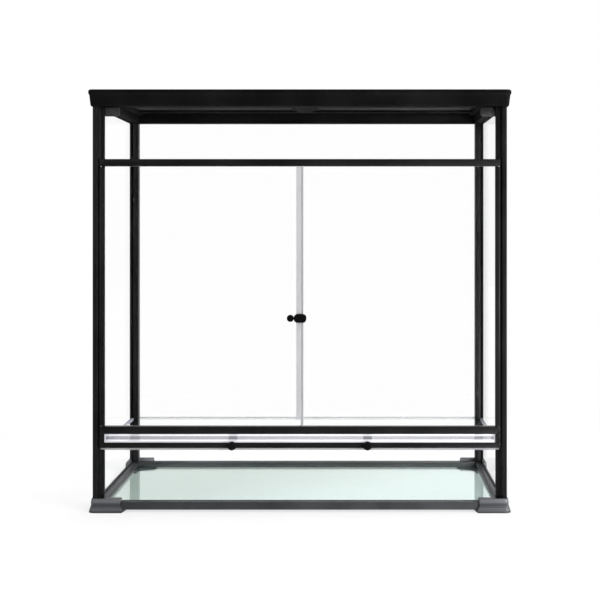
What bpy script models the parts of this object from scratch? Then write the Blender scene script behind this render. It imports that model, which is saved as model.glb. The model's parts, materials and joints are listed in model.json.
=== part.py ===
"""Front-opening glass terrarium, built piece by piece at its real size.

Metres, +Z up. The origin is on the floor under the middle of the cabinet, the
doors face -Y and +X is to the right of someone who stands in front of them.
Each sub-part is one object. Moving sub-parts hang from an empty on their axis.

Places in the plan are given as insets: the distance inwards from the outer
faces of the corner posts, which bound the cabinet on all four sides.
"""
import math

import bmesh
import bpy
from mathutils import Matrix, Vector

# Overall sizes
FRAME_WIDTH = 0.900
FRAME_DEPTH = 0.450
TOP_FRAME_HEIGHT = 0.0365

# Heights of the front, from the floor upwards
RAIL_LIFT = 0.0055
RAIL_HEIGHT = 0.0165
LOWER_WINDOW = 0.1176
LOWER_BAR_HEIGHT = 0.0115
VENT_HEIGHT = 0.0186
UPPER_BAR_HEIGHT = 0.0161
DOORWAY_HEIGHT = 0.5656
CROSSBAR_HEIGHT = 0.0153
UPPER_WINDOW = 0.1140

# Clearances
GAP = 0.0003
DOOR_GAP = 0.0015
HINGE_CLEARANCE = 0.0006
LID_CLEARANCE = 0.0008
SEAM_GAP = 0.0006

# Glass and the grooves that hold it
GLASS = 0.0050
GROOVE_DEPTH = 0.0080
SIDE_PANE_INSET = 0.0040
FRONT_PANE_INSET = 0.0115
WALL_JOINT_HEIGHT = 0.1310
JOINT_STRIP_HEIGHT = 0.0070
JOINT_STRIP_WALL = 0.0010
JOINT_STRIP_WEB = 0.0015

# Corner posts
POST_SIZE = 0.0230
POST_ROUND = 0.0025
POST_GROOVE_DEPTH = 0.0105
POCKET_CHAMFER = 0.0028

# Bars across the front
BAR_DEPTH = 0.0200
BAR_LIP = 0.0040
LOWER_PANE_SEAT = 0.0013
STRIP_INSET = 0.0025
STRIP_THICKNESS = 0.0030
STRIP_SEAT_BELOW = 0.0026
STRIP_SEAT_ABOVE = 0.0039
SLOT_COUNT = 96
SLOT_WIDTH = 0.0043
SLOT_HEIGHT = 0.0070
SLOT_LEVEL = 0.0100
VENT_END_WIDTH = 0.0100
VENT_BORDER = 0.0035

# Doors
STILE_RADIUS = 0.0045
STILE_SETBACK = 0.0004
STILE_REVEAL = 0.0022
STILE_SLOT_START = 0.0024
HINGE_AXIS_INSET = 0.0178
PIN_RADIUS = 0.0018
PIN_IN_BAR = 0.0060
HINGE_LUG_REACH = 0.0015
SEAM_OFFSET = 0.0020
WIDE_SEAL = 0.0093
NARROW_SEAL = 0.0053
SEAL_WALL = 0.0008
SEAL_WEB = 0.0012
WIDE_SEAL_LIFT = 0.0140

# Door pulls and the lock's turn button
PULL_HEIGHT = 0.0200
PULL_LEVEL = 0.4210
PULL_REACH_LEFT = 0.0142
PULL_REACH_RIGHT = 0.0121
PULL_DEPTH = 0.0085
PULL_END_ROUND = 0.0080
PULL_ROUND = 0.0016
BOLT_RADIUS = 0.0020
WASHER_RADIUS = 0.0024
WASHER_THICKNESS = 0.0020
TURN_SPACING = 0.0079
TURN_RADIUS = 0.0073
TURN_FACE_RADIUS = 0.0060
TURN_DEPTH = 0.0070
TURN_BEVEL = 0.0014
WING_THICKNESS = 0.0022
WING_LENGTH = 0.0116
WING_RISE = 0.0012

# Turn knobs that hold the vent strip
KNOB_SPACING = 0.2940
KNOB_RISE = 0.0050
KNOB_RADIUS = 0.0096
KNOB_FACE_RADIUS = 0.0080
KNOB_DEPTH = 0.0088
KNOB_BEVEL = 0.0018
KNOB_SCALLOPS = 12
SCALLOP_DEPTH = 0.0006
KNOB_SHAFT_RADIUS = 0.0016
KNOB_NUT_RADIUS = 0.0032
TAB_WIDTH = 0.0190
TAB_THICKNESS = 0.0030
TAB_REACH = 0.0210

# Bottom rails, floor glass and corner feet
FLOOR_GROOVE_DEPTH = 0.0030
FLOOR_GROOVE_LIP = 0.0025
FOOT_HEIGHT = 0.0300
FOOT_ARM = 0.0640
FOOT_OUTER_ARM = 0.0580
FOOT_FLARE = 0.0085
FOOT_PLATE = 0.0052
FOOT_INNER_WIDTH = 0.0255
FOOT_CORNER_ROUND = 0.0040
FOOT_PROFILE = (
    (0.00, 1.00), (0.10, 0.97), (0.14, 0.84), (0.30, 0.77), (0.35, 0.60), (0.46, 0.57),
    (0.50, 0.44), (0.63, 0.42), (0.67, 0.50), (0.88, 0.38), (0.96, 0.32), (1.00, 0.24),
)

# Top frame
FASCIA_REACH = 0.0098
FASCIA_NECK_REACH = 0.0076
FASCIA_FOOT_REACH = 0.0050
FASCIA_FOOT_ROUND = 0.0040
BEAD_HEIGHT = 0.0080
BEAD_ROUND = 0.0022
BEAD_UNDERCUT = 0.0030
FRAME_CORNER_ROUND = 0.0030
RIM_WIDTH = 0.0300
FRAME_WALL_WIDTH = 0.0260
LEDGE_DEPTH = 0.0148
LEDGE_THICKNESS = 0.0032
LEDGE_WIDTH = 0.0120
POST_IN_FRAME = 0.0120
CENTRE_BAR_WIDTH = 0.0310
CENTRE_LEDGE = 0.0040
DECK_DEPTH = 0.1050
DECK_DROP = 0.0010
DECK_THICKNESS = 0.0100
DECK_WALL = 0.0042

# Mesh lids
LID_HEIGHT = 0.0100
LID_STRIP = 0.0200
LID_EDGE_ROUND = 0.0012
LID_CORNER_ROUND = 0.0005
REBATE_WIDTH = 0.0060
REBATE_DEPTH = 0.0035
MESH_THICKNESS = 0.0016
MESH_COLUMNS = 10
MESH_ROWS = 9
MESH_WIRE = 0.0030
MESH_BORDER = 0.0075
LID_AXIS_RISE = 0.0008
LID_HINGE_SPACING = 0.2400
KNUCKLE_RADIUS = 0.0032
KNUCKLE_WEB = 0.0060
KNUCKLE_CLEARANCE = 0.0006
LID_KNUCKLE = 0.0160
DECK_KNUCKLE = 0.0080
LID_PIN_RADIUS = 0.0015
LID_PULL_INSET = 0.0092
LID_PULL_RADIUS = 0.0080
LID_PULL_HEIGHT = 0.0080
LID_PULL_PROFILE = ((0.0, 0.7), (0.4, 0.6), (0.7, 1.0), (1.0, 0.8))
LID_PULL_SHANK = 0.0020
LID_PULL_NUT = 0.0044
LID_PULL_NUT_FACE = 0.0035
LID_PULL_NUT_HEIGHT = 0.0030
LID_PULL_NUT_BEVEL = 0.0010

# Cable inlets in the rear deck
INLET_SPACING = 0.4600
INLET_LENGTH = 0.0600
INLET_WIDTH = 0.0220
SLIDE_MARGIN = 0.0070
SLIDE_WIDTH = 0.0300
SLIDE_THICKNESS = 0.0022
SLIDE_LIP = 0.0022
SLIDE_TRAVEL = 0.0640
SLIDE_COVER = 0.0016
SLIDE_GRIP_WIDTH = 0.0060
SLIDE_GRIP_RISE = 0.0008

# Corner gussets under the top frame
GUSSET_LENGTH = 0.0320
GUSSET_HEIGHT = 0.0195
GUSSET_THICKNESS = 0.0048
GUSSET_ROUND = 0.0060

# How far a joined part runs into its neighbour, and how far a cutter runs past a face
LUG_OVERLAP = 0.0050
CUT_OVERRUN = 0.0010

# Sides of a round piece
ROUND_SIDES = 24
SMALL_ROUND_SIDES = 12

# Heights worked out from the sizes above
RAIL_TOP = RAIL_LIFT + RAIL_HEIGHT
LOWER_BAR = RAIL_TOP + LOWER_WINDOW
VENT = LOWER_BAR + LOWER_BAR_HEIGHT
UPPER_BAR = VENT + VENT_HEIGHT
DOORWAY = UPPER_BAR + UPPER_BAR_HEIGHT
CROSSBAR = DOORWAY + DOORWAY_HEIGHT
UPPER_GLASS = CROSSBAR + CROSSBAR_HEIGHT
TOP_FRAME = UPPER_GLASS + UPPER_WINDOW
TOP = TOP_FRAME + TOP_FRAME_HEIGHT
FLOOR_GLASS = RAIL_LIFT + FLOOR_GROOVE_LIP + GAP
LEDGE = TOP - LEDGE_DEPTH
LID_BOTTOM = LEDGE + GAP
LID_TOP = LID_BOTTOM + LID_HEIGHT
DECK_TOP = TOP - DECK_DROP
SLIDE_ROOF = DECK_TOP - SLIDE_COVER

# Plan places worked out from the sizes above
GROOVE = GLASS + 2 * GAP
HINGE_AXIS_DEPTH = STILE_SETBACK + STILE_RADIUS
POCKET_RADIUS = STILE_RADIUS + HINGE_CLEARANCE
BETWEEN_POSTS = POST_SIZE + GAP
LID_AXIS_Y = FRAME_DEPTH / 2 - DECK_DEPTH
LID_AXIS_Z = LID_TOP + LID_AXIS_RISE
KNUCKLE_ROOM = KNUCKLE_RADIUS + KNUCKLE_CLEARANCE

# The sides that a mirrored piece can be on
LEFT = -1
RIGHT = 1
FRONT = -1
BACK = 1


def x_at(side, inset):
    """World x of a plan inset from the left or right outer face."""
    return side * (FRAME_WIDTH / 2 - inset)


def y_at(side, inset):
    """World y of a plan inset from the front or back outer face."""
    return side * (FRAME_DEPTH / 2 - inset)


def plan(points, side, end):
    """Turn (inset from side, inset from front or back) points into world x and y."""
    return [(x_at(side, inset), y_at(end, depth)) for inset, depth in points]


def side_name(side):
    """The word for a left or right piece."""
    return "left" if side == LEFT else "right"


def finish(name, colour, roughness, metallic=0.0, transmission=0.0):
    """Make one Principled material."""
    material = bpy.data.materials.new(name)
    material.use_nodes = True
    shader = material.node_tree.nodes["Principled BSDF"]
    shader.inputs["Base Color"].default_value = (*colour, 1.0)
    shader.inputs["Roughness"].default_value = roughness
    shader.inputs["Metallic"].default_value = metallic
    shader.inputs["Transmission Weight"].default_value = transmission
    return material


# Solids

def add_object(name, shape, material):
    """Turn a bmesh into a named object with outward faces."""
    bmesh.ops.recalc_face_normals(shape, faces=shape.faces)
    mesh = bpy.data.meshes.new(name)
    shape.to_mesh(mesh)
    shape.free()
    mesh.materials.append(material)
    piece = bpy.data.objects.new(name, mesh)
    bpy.context.scene.collection.objects.link(piece)
    return piece


def smooth(piece, angle=40.0):
    """Shade a piece's round faces smooth and keep its edges sharp."""
    piece.data.shade_smooth()
    piece.data.set_sharp_from_angle(angle=math.radians(angle))
    return piece


def arc(centre, radius, first, last, steps):
    """Points on an arc, from one angle to another in degrees."""
    points = []
    for step in range(steps + 1):
        angle = math.radians(first + (last - first) * step / steps)
        points.append((centre[0] + radius * math.cos(angle), centre[1] + radius * math.sin(angle)))
    return points


def circle(centre, radius, sides):
    """Points round a full circle."""
    return arc(centre, radius, 0.0, 360.0 * (sides - 1) / sides, sides - 1)


def place_point(along, a, b, travel):
    """World point of a plane's a and b at a travel along the third axis."""
    if along == "X":
        return (travel, a, b)
    if along == "Y":
        return (a, travel, b)
    return (a, b, travel)


def add_band(shape, lower, upper):
    """Join two loops of points by a band of faces."""
    count = len(lower)
    for index in range(count):
        following = (index + 1) % count
        shape.faces.new((lower[index], lower[following], upper[following], upper[index]))


def loft(name, rings, material):
    """One solid through rings of points, with a cap at each end."""
    shape = bmesh.new()
    loops = [[shape.verts.new(point) for point in ring] for ring in rings]
    shape.faces.new(loops[0])
    shape.faces.new(loops[-1])
    for lower, upper in zip(loops, loops[1:]):
        add_band(shape, lower, upper)
    return add_object(name, shape, material)


def prism(name, outline, along, start, end, material):
    """One solid of an outline drawn out along X, Y or Z."""
    rings = [[place_point(along, a, b, travel) for a, b in outline] for travel in (start, end)]
    return loft(name, rings, material)


def turned_rings(profile, centre, along, sides):
    """Rings of a turned shape from (travel, radius) steps about an axis."""
    return [
        [place_point(along, a, b, travel) for a, b in circle(centre, radius, sides)]
        for travel, radius in profile
    ]


def rod(name, centre, radius, along, start, end, material):
    """A plain round rod."""
    rings = turned_rings(((start, radius), (end, radius)), centre, along, SMALL_ROUND_SIDES)
    return loft(name, rings, material)


def block(name, low, high, material):
    """A box between two corners, in either order."""
    lows = [min(pair) for pair in zip(low, high)]
    highs = [max(pair) for pair in zip(low, high)]
    outline = ((lows[0], lows[1]), (highs[0], lows[1]), (highs[0], highs[1]), (lows[0], highs[1]))
    return prism(name, outline, "Z", lows[2], highs[2], material)


def ring_frame(name, centre, half_x, half_y, section, corner, material):
    """A rectangular frame of one section, whose points are (inset, height)."""
    shape = bmesh.new()
    loops = []
    for inset, level in section:
        radius = max(corner - inset, LID_CORNER_ROUND)
        loop = []
        for turn, (sx, sy) in enumerate(((1, 1), (-1, 1), (-1, -1), (1, -1))):
            middle_x = centre[0] + sx * (half_x - inset - radius)
            middle_y = centre[1] + sy * (half_y - inset - radius)
            bend = arc((middle_x, middle_y), radius, 90.0 * turn, 90.0 * turn + 90.0, 3)
            loop += [shape.verts.new((x, y, level)) for x, y in bend]
        loops.append(loop)
    for lower, upper in zip(loops, loops[1:] + loops[:1]):
        add_band(shape, lower, upper)
    return add_object(name, shape, material)


def lattice(name, columns, rows, along, start, end, material):
    """A flat net: bars given as (first, last) pairs both ways, one closed body."""
    shape = bmesh.new()
    grid = {}
    edges = [place for column in columns for place in column]
    for row in rows:
        for level in row:
            for place in edges:
                grid[place, level] = shape.verts.new(place_point(along, place, level, start))
    for number, (low, high) in enumerate(rows):
        lower = edges if number else (edges[0], edges[-1])
        upper = edges if number < len(rows) - 1 else (edges[0], edges[-1])
        loop = [grid[place, low] for place in lower]
        loop += [grid[place, high] for place in reversed(upper)]
        shape.faces.new(loop)
    for lower, upper in zip(rows, rows[1:]):
        for first, last in columns:
            corners = ((first, lower[1]), (last, lower[1]), (last, upper[0]), (first, upper[0]))
            shape.faces.new([grid[corner] for corner in corners])
    loose = [vertex for vertex in shape.verts if not vertex.link_faces]
    bmesh.ops.delete(shape, geom=loose, context="VERTS")
    moved = bmesh.ops.extrude_face_region(shape, geom=list(shape.faces))["geom"]
    corners = [item for item in moved if isinstance(item, bmesh.types.BMVert)]
    bmesh.ops.translate(shape, vec=place_point(along, 0.0, 0.0, end - start), verts=corners)
    return add_object(name, shape, material)


def even_bars(first, last, border, bar, gaps):
    """Bars that leave equal gaps between two borders."""
    gap = (last - first - 2 * border - (gaps - 1) * bar) / gaps
    bars = [(first, first + border)]
    for number in range(1, gaps):
        start = first + border + number * gap + (number - 1) * bar
        bars.append((start, start + bar))
    bars.append((last - border, last))
    return bars


def combine(piece, others, operation):
    """Join other solids to a piece or cut them from it, and use them up."""
    for other in others:
        step = piece.modifiers.new(other.name, "BOOLEAN")
        step.operation = operation
        step.solver = "EXACT"
        step.object = other
    bpy.context.view_layer.update()
    evaluated = piece.evaluated_get(bpy.context.evaluated_depsgraph_get())
    result = bpy.data.meshes.new_from_object(evaluated)
    piece.modifiers.clear()
    piece.data = result
    for other in others:
        bpy.data.objects.remove(other)
    return piece


def join(piece, others):
    """Fuse other solids into a piece."""
    return combine(piece, others, "UNION")


def cut(piece, cutters):
    """Cut other solids out of a piece."""
    return combine(piece, cutters, "DIFFERENCE")


def round_edges(piece, width, segments=2, angle=50.0):
    """Bevel a piece's sharp edges."""
    bevel = piece.modifiers.new("edges", "BEVEL")
    bevel.width = width
    bevel.segments = segments
    bevel.limit_method = "ANGLE"
    bevel.angle_limit = math.radians(angle)
    return piece


def pivot(name, place):
    """An empty on a joint's axis."""
    empty = bpy.data.objects.new(name, None)
    empty.location = place
    bpy.context.scene.collection.objects.link(empty)
    return empty


def hang(piece, empty):
    """Give a moving piece the place of its axis as its origin."""
    piece.data.transform(Matrix.Translation(-Vector(empty.location)))
    piece.parent = empty
    return piece


# Corner posts

def side_groove_section():
    """The end of a post's outline, round the groove of the side panes."""
    near = SIDE_PANE_INSET
    far = SIDE_PANE_INSET + GROOVE
    floor = POST_SIZE - POST_GROOVE_DEPTH
    return [(far, POST_SIZE), (far, floor), (near, floor), (near, POST_SIZE), (0.0, POST_SIZE)]


def front_post_section():
    """Front post: a hinge pocket, a groove for the fixed front panes and one for the side panes."""
    axis = (HINGE_AXIS_INSET, HINGE_AXIS_DEPTH)
    mouth = HINGE_AXIS_INSET - POCKET_RADIUS - POCKET_CHAMFER
    pane = FRONT_PANE_INSET
    floor = POST_SIZE - POST_GROOVE_DEPTH
    points = arc((POST_ROUND, POST_ROUND), POST_ROUND, 180.0, 270.0, 4)
    points.append((mouth, 0.0))
    points += arc(axis, POCKET_RADIUS, 180.0, 90.0, 6)
    points += [(POST_SIZE, HINGE_AXIS_DEPTH + POCKET_RADIUS), (POST_SIZE, pane), (floor, pane)]
    points += [(floor, pane + GROOVE), (POST_SIZE, pane + GROOVE), (POST_SIZE, POST_SIZE)]
    return points + side_groove_section()


def rear_post_section():
    """Rear post: a groove for the back panes and one for the side panes."""
    pane = SIDE_PANE_INSET
    floor = POST_SIZE - POST_GROOVE_DEPTH
    points = arc((POST_ROUND, POST_ROUND), POST_ROUND, 180.0, 270.0, 4)
    points += [(POST_SIZE, 0.0), (POST_SIZE, pane), (floor, pane)]
    points += [(floor, pane + GROOVE), (POST_SIZE, pane + GROOVE), (POST_SIZE, POST_SIZE)]
    return points + side_groove_section()


def build_posts(material):
    """Four extruded posts."""
    bottom = FOOT_PLATE + GAP
    top = TOP_FRAME + POST_IN_FRAME
    for side in (LEFT, RIGHT):
        outline = plan(front_post_section(), side, FRONT)
        prism("post_front_" + side_name(side), outline, "Z", bottom, top, material)
        outline = plan(rear_post_section(), side, BACK)
        prism("post_rear_" + side_name(side), outline, "Z", bottom, top, material)


# Bars across the front

def hinge_outline(side, inner_end):
    """Plan of a lug that fills the hinge pocket, up to an inset beyond the post."""
    axis = (HINGE_AXIS_INSET, HINGE_AXIS_DEPTH)
    points = arc(axis, STILE_RADIUS, 90.0, 270.0, 10)
    points.append((inner_end, HINGE_AXIS_DEPTH - STILE_RADIUS))
    points.append((inner_end, HINGE_AXIS_DEPTH + STILE_RADIUS))
    return plan(points, side, FRONT)


def pin_bores(low, high):
    """Cutters for both doors' hinge rods in one bar."""
    centres = [(x_at(side, HINGE_AXIS_INSET), y_at(FRONT, HINGE_AXIS_DEPTH)) for side in (LEFT, RIGHT)]
    return [rod("pin_bore", centre, PIN_RADIUS + GAP, "Z", low, high, None) for centre in centres]


def bar(name, section, low, high, material):
    """A bar between the posts with a lug in each hinge pocket."""
    outline = [(y_at(FRONT, depth), level) for depth, level in section]
    piece = prism(name, outline, "X", x_at(LEFT, BETWEEN_POSTS), x_at(RIGHT, BETWEEN_POSTS), material)
    overlap = BETWEEN_POSTS + HINGE_LUG_REACH
    lugs = [prism("lug", hinge_outline(side, overlap), "Z", low, high, None) for side in (LEFT, RIGHT)]
    return join(piece, lugs)


def build_crossbar(material):
    """The bar over the doors, with a groove for the pane above it."""
    near = FRONT_PANE_INSET
    far = FRONT_PANE_INSET + GROOVE
    seat = UPPER_GLASS - GROOVE_DEPTH
    section = (
        (0.0, CROSSBAR), (0.0, UPPER_GLASS), (near, UPPER_GLASS), (near, seat), (far, seat),
        (far, UPPER_GLASS), (BAR_DEPTH, UPPER_GLASS), (BAR_DEPTH, CROSSBAR),
    )
    piece = bar("crossbar", section, CROSSBAR, UPPER_GLASS, material)
    return cut(piece, pin_bores(CROSSBAR - CUT_OVERRUN, CROSSBAR + PIN_IN_BAR + GAP))


def build_vent_bars(material):
    """The bars above and below the vent, each with a groove for the clear strip."""
    near = STRIP_INSET - GAP
    far = STRIP_INSET + STRIP_THICKNESS + GAP
    seat = UPPER_BAR + STRIP_SEAT_ABOVE
    section = (
        (0.0, DOORWAY), (0.0, UPPER_BAR), (near, UPPER_BAR), (near, seat), (far, seat),
        (far, UPPER_BAR), (BAR_DEPTH, UPPER_BAR), (BAR_DEPTH, DOORWAY),
    )
    upper = bar("vent_upper_bar", section, UPPER_BAR, DOORWAY, material)
    cut(upper, pin_bores(DOORWAY - PIN_IN_BAR - GAP, DOORWAY + CUT_OVERRUN))

    seat = VENT - STRIP_SEAT_BELOW
    pane = (FRONT_PANE_INSET, FRONT_PANE_INSET + GROOVE)
    under = LOWER_BAR + LOWER_PANE_SEAT
    lip = LOWER_BAR - BAR_LIP
    section = (
        (0.0, LOWER_BAR), (0.0, VENT), (near, VENT), (near, seat), (far, seat), (far, VENT),
        (BAR_DEPTH, VENT), (BAR_DEPTH, lip), (pane[1], lip), (pane[1], under), (pane[0], under),
        (pane[0], LOWER_BAR),
    )
    lower = bar("vent_lower_bar", section, LOWER_BAR, VENT, material)
    ends = (y_at(FRONT, -CUT_OVERRUN), y_at(FRONT, BAR_DEPTH + CUT_OVERRUN))
    centres = [knob_centre(side) for side in (LEFT, RIGHT)]
    radius = KNOB_SHAFT_RADIUS + GAP
    cut(lower, [rod("knob_bore", centre, radius, "Y", *ends, None) for centre in centres])


def slot_bar_width(inset):
    """Width of the bars between the vent's slots."""
    length = FRAME_WIDTH - 2 * inset - 2 * VENT_BORDER
    return (length - SLOT_COUNT * SLOT_WIDTH) / (SLOT_COUNT - 1)


def build_vent_strip(material):
    """The clear slotted strip between the two vent bars."""
    inset = BETWEEN_POSTS + HINGE_LUG_REACH + GAP
    bar_width = slot_bar_width(inset)
    ends = (x_at(LEFT, inset), x_at(RIGHT, inset))
    columns = even_bars(*ends, VENT_BORDER, bar_width, SLOT_COUNT)
    middle = VENT + SLOT_LEVEL
    low = VENT - STRIP_SEAT_BELOW + GAP
    high = UPPER_BAR + STRIP_SEAT_ABOVE - GAP
    rows = [(low, middle - SLOT_HEIGHT / 2), (middle + SLOT_HEIGHT / 2, high)]
    ends = (y_at(FRONT, STRIP_INSET), y_at(FRONT, STRIP_INSET + STRIP_THICKNESS))
    lattice("vent_strip", columns, rows, "Y", *ends, material)


def build_vent_end(side, material):
    """The block that closes the vent beside a post, behind the end of the clear strip."""
    low = VENT + GAP
    high = UPPER_BAR - GAP
    inner = BETWEEN_POSTS + VENT_END_WIDTH
    start = (x_at(side, BETWEEN_POSTS), y_at(FRONT, 0.0), low)
    stop = (x_at(side, inner), y_at(FRONT, BAR_DEPTH), high)
    end_block = block("vent_end_" + side_name(side), start, stop, material)
    lug_end = BETWEEN_POSTS + HINGE_LUG_REACH
    join(end_block, [prism("lug", hinge_outline(side, lug_end), "Z", low, high, None)])
    start = (x_at(side, lug_end), y_at(FRONT, -CUT_OVERRUN), VENT - CUT_OVERRUN)
    stop = (0.0, y_at(FRONT, STRIP_INSET + STRIP_THICKNESS + GAP), UPPER_BAR + CUT_OVERRUN)
    cut(end_block, [block("strip_room", start, stop, None)])


# Turn knobs under the doors

def knob_centre(side):
    """Centre of a vent knob, in x and z."""
    return side * KNOB_SPACING / 2, LOWER_BAR + KNOB_RISE


def scalloped_circle(centre, radius):
    """Points round a knob's rim, drawn in a little at each finger scallop."""
    points = []
    for step in range(KNOB_SCALLOPS * 4):
        angle = 2 * math.pi * step / (KNOB_SCALLOPS * 4)
        rim = radius - SCALLOP_DEPTH * (1 - math.cos(KNOB_SCALLOPS * angle)) / 2
        points.append((centre[0] + rim * math.cos(angle), centre[1] + rim * math.sin(angle)))
    return points


def build_vent_knob(side, material):
    """A turn knob on the front of the lower bar and its tab behind the vent strip."""
    word = side_name(side)
    centre = knob_centre(side)
    tab_face = BAR_DEPTH + GAP
    tab_back = tab_face + TAB_THICKNESS
    face = -GAP - KNOB_DEPTH
    rings = []
    for depth, radius in ((face, KNOB_FACE_RADIUS), (face + KNOB_BEVEL, KNOB_RADIUS), (-GAP, KNOB_RADIUS)):
        rings.append([(x, y_at(FRONT, depth), z) for x, z in scalloped_circle(centre, radius)])
    steps = (
        (-GAP, KNOB_SHAFT_RADIUS), (tab_back + GAP, KNOB_SHAFT_RADIUS),
        (tab_back + GAP, KNOB_NUT_RADIUS), (tab_back + GAP + WASHER_THICKNESS, KNOB_NUT_RADIUS),
    )
    profile = [(y_at(FRONT, depth), radius) for depth, radius in steps]
    rings += turned_rings(profile, centre, "Y", KNOB_SCALLOPS * 4)
    knob = smooth(loft("vent_knob_" + word, rings, material))

    half = TAB_WIDTH / 2
    outline = [(centre[0] + half, centre[1]), (centre[0] + half, centre[1] + TAB_REACH)]
    outline += [(centre[0] - half, centre[1] + TAB_REACH), (centre[0] - half, centre[1])]
    outline += arc(centre, half, 180.0, 360.0, 8)[1:-1]
    tab = prism("vent_tab_" + word, outline, "Y", y_at(FRONT, tab_face), y_at(FRONT, tab_back), material)
    reach = (y_at(FRONT, tab_face - CUT_OVERRUN), y_at(FRONT, tab_back + CUT_OVERRUN))
    cut(tab, [rod("tab_bore", centre, KNOB_SHAFT_RADIUS + GAP, "Y", *reach, None)])
    spindle = pivot("vent_knob_axis_" + word, (centre[0], y_at(FRONT, 0.0), centre[1]))
    hang(knob, spindle)
    hang(tab, spindle)


# Doors

def door_levels():
    """Lowest and highest point of a door."""
    return DOORWAY + DOOR_GAP, CROSSBAR - DOOR_GAP


def door_depths():
    """Front and back face of a door's glass, as insets from the front."""
    return HINGE_AXIS_DEPTH - GLASS / 2, HINGE_AXIS_DEPTH + GLASS / 2


def stile_section():
    """Plan of a hinge stile: a round back about its axis and a slot for the glass."""
    axis = (HINGE_AXIS_INSET, HINGE_AXIS_DEPTH)
    edge = POST_SIZE + STILE_REVEAL
    slot = HINGE_AXIS_INSET + STILE_SLOT_START
    front = HINGE_AXIS_DEPTH - GROOVE / 2
    back = HINGE_AXIS_DEPTH + GROOVE / 2
    points = arc(axis, STILE_RADIUS, 90.0, 270.0, 10)
    points += [(edge, HINGE_AXIS_DEPTH - STILE_RADIUS), (edge, front), (slot, front)]
    return points + [(slot, back), (edge, back), (edge, HINGE_AXIS_DEPTH + STILE_RADIUS)]


def seal_edges(side):
    """Edge of a door's seal at the seam and its far edge, in x."""
    near = SEAM_OFFSET + side * SEAM_GAP / 2
    width = WIDE_SEAL if side == LEFT else NARROW_SEAL
    return near, near + side * width


def seal_section(side):
    """Plan of a door's seal: a channel over the glass edge, in world x and y."""
    near, far = seal_edges(side)
    web = near + side * SEAL_WEB
    inner = GLASS / 2 + GAP
    outer = inner + SEAL_WALL
    centre = y_at(FRONT, HINGE_AXIS_DEPTH)
    return [
        (near, centre - outer), (far, centre - outer), (far, centre - inner), (web, centre - inner),
        (web, centre + inner), (far, centre + inner), (far, centre + outer), (near, centre + outer),
    ]


def pull_far_edge(side):
    """The edge of a door's pull away from the seam, in x."""
    reach = PULL_REACH_LEFT if side == LEFT else PULL_REACH_RIGHT
    return seal_edges(side)[0] + side * reach


def bolt_place(side):
    """Centre of the bolt that holds a door's pull, in x and z."""
    return seal_edges(side)[1] + side * (WASHER_RADIUS + GAP), PULL_LEVEL


def turn_place():
    """Centre of the lock's turn button, in x and z."""
    return pull_far_edge(LEFT) - TURN_SPACING, PULL_LEVEL


def build_pull(side, material):
    """Half of the pull at the seam: a round-ended grip bolted through the glass."""
    front, back = door_depths()
    face = front - GAP - SEAL_WALL - GAP
    straight = pull_far_edge(side) - side * PULL_END_ROUND
    rise = PULL_HEIGHT / 2 - PULL_END_ROUND
    turn = 90.0 * side
    outline = [(seal_edges(side)[0], PULL_LEVEL + PULL_HEIGHT / 2)]
    outline += arc((straight, PULL_LEVEL + rise), PULL_END_ROUND, 90.0, 90.0 - turn, 6)
    outline += arc((straight, PULL_LEVEL - rise), PULL_END_ROUND, 90.0 - turn, 90.0 - 2 * turn, 6)
    outline.append((seal_edges(side)[0], PULL_LEVEL - PULL_HEIGHT / 2))
    depths = (y_at(FRONT, face - PULL_DEPTH), y_at(FRONT, face))
    grip = prism("door_pull_" + side_name(side), outline, "Y", *depths, material)
    round_edges(grip, PULL_ROUND)
    steps = (
        (face - PULL_DEPTH / 2, BOLT_RADIUS), (back + GAP, BOLT_RADIUS), (back + GAP, WASHER_RADIUS),
        (back + GAP + WASHER_THICKNESS, WASHER_RADIUS),
    )
    profile = [(y_at(FRONT, depth), radius) for depth, radius in steps]
    bolt = loft("bolt", turned_rings(profile, bolt_place(side), "Y", SMALL_ROUND_SIDES), None)
    return join(grip, [bolt])


def build_turn_button(material, axle):
    """The lock's turn button beside the left pull, on an axis through the glass."""
    front, back = door_depths()
    centre = turn_place()
    base = front - GAP
    face = base - TURN_DEPTH
    steps = (
        (face, TURN_FACE_RADIUS), (face + TURN_BEVEL, TURN_RADIUS), (base, TURN_RADIUS),
        (base, BOLT_RADIUS), (back + GAP, BOLT_RADIUS), (back + GAP, WASHER_RADIUS),
        (back + GAP + WASHER_THICKNESS, WASHER_RADIUS),
    )
    profile = [(y_at(FRONT, depth), radius) for depth, radius in steps]
    button = loft("lock_turn", turned_rings(profile, centre, "Y", ROUND_SIDES), material)
    across = WING_THICKNESS / 2
    along = WING_LENGTH / 2
    start = (centre[0] - across, y_at(FRONT, face - WING_RISE), centre[1] - along)
    stop = (centre[0] + across, y_at(FRONT, base - TURN_DEPTH / 2), centre[1] + along)
    join(button, [block("wing", start, stop, None)])
    spindle = pivot("lock_axis", (centre[0], y_at(FRONT, base), centre[1]))
    hang(smooth(button), spindle)
    spindle.parent = axle
    spindle.location = spindle.location - axle.location


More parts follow.
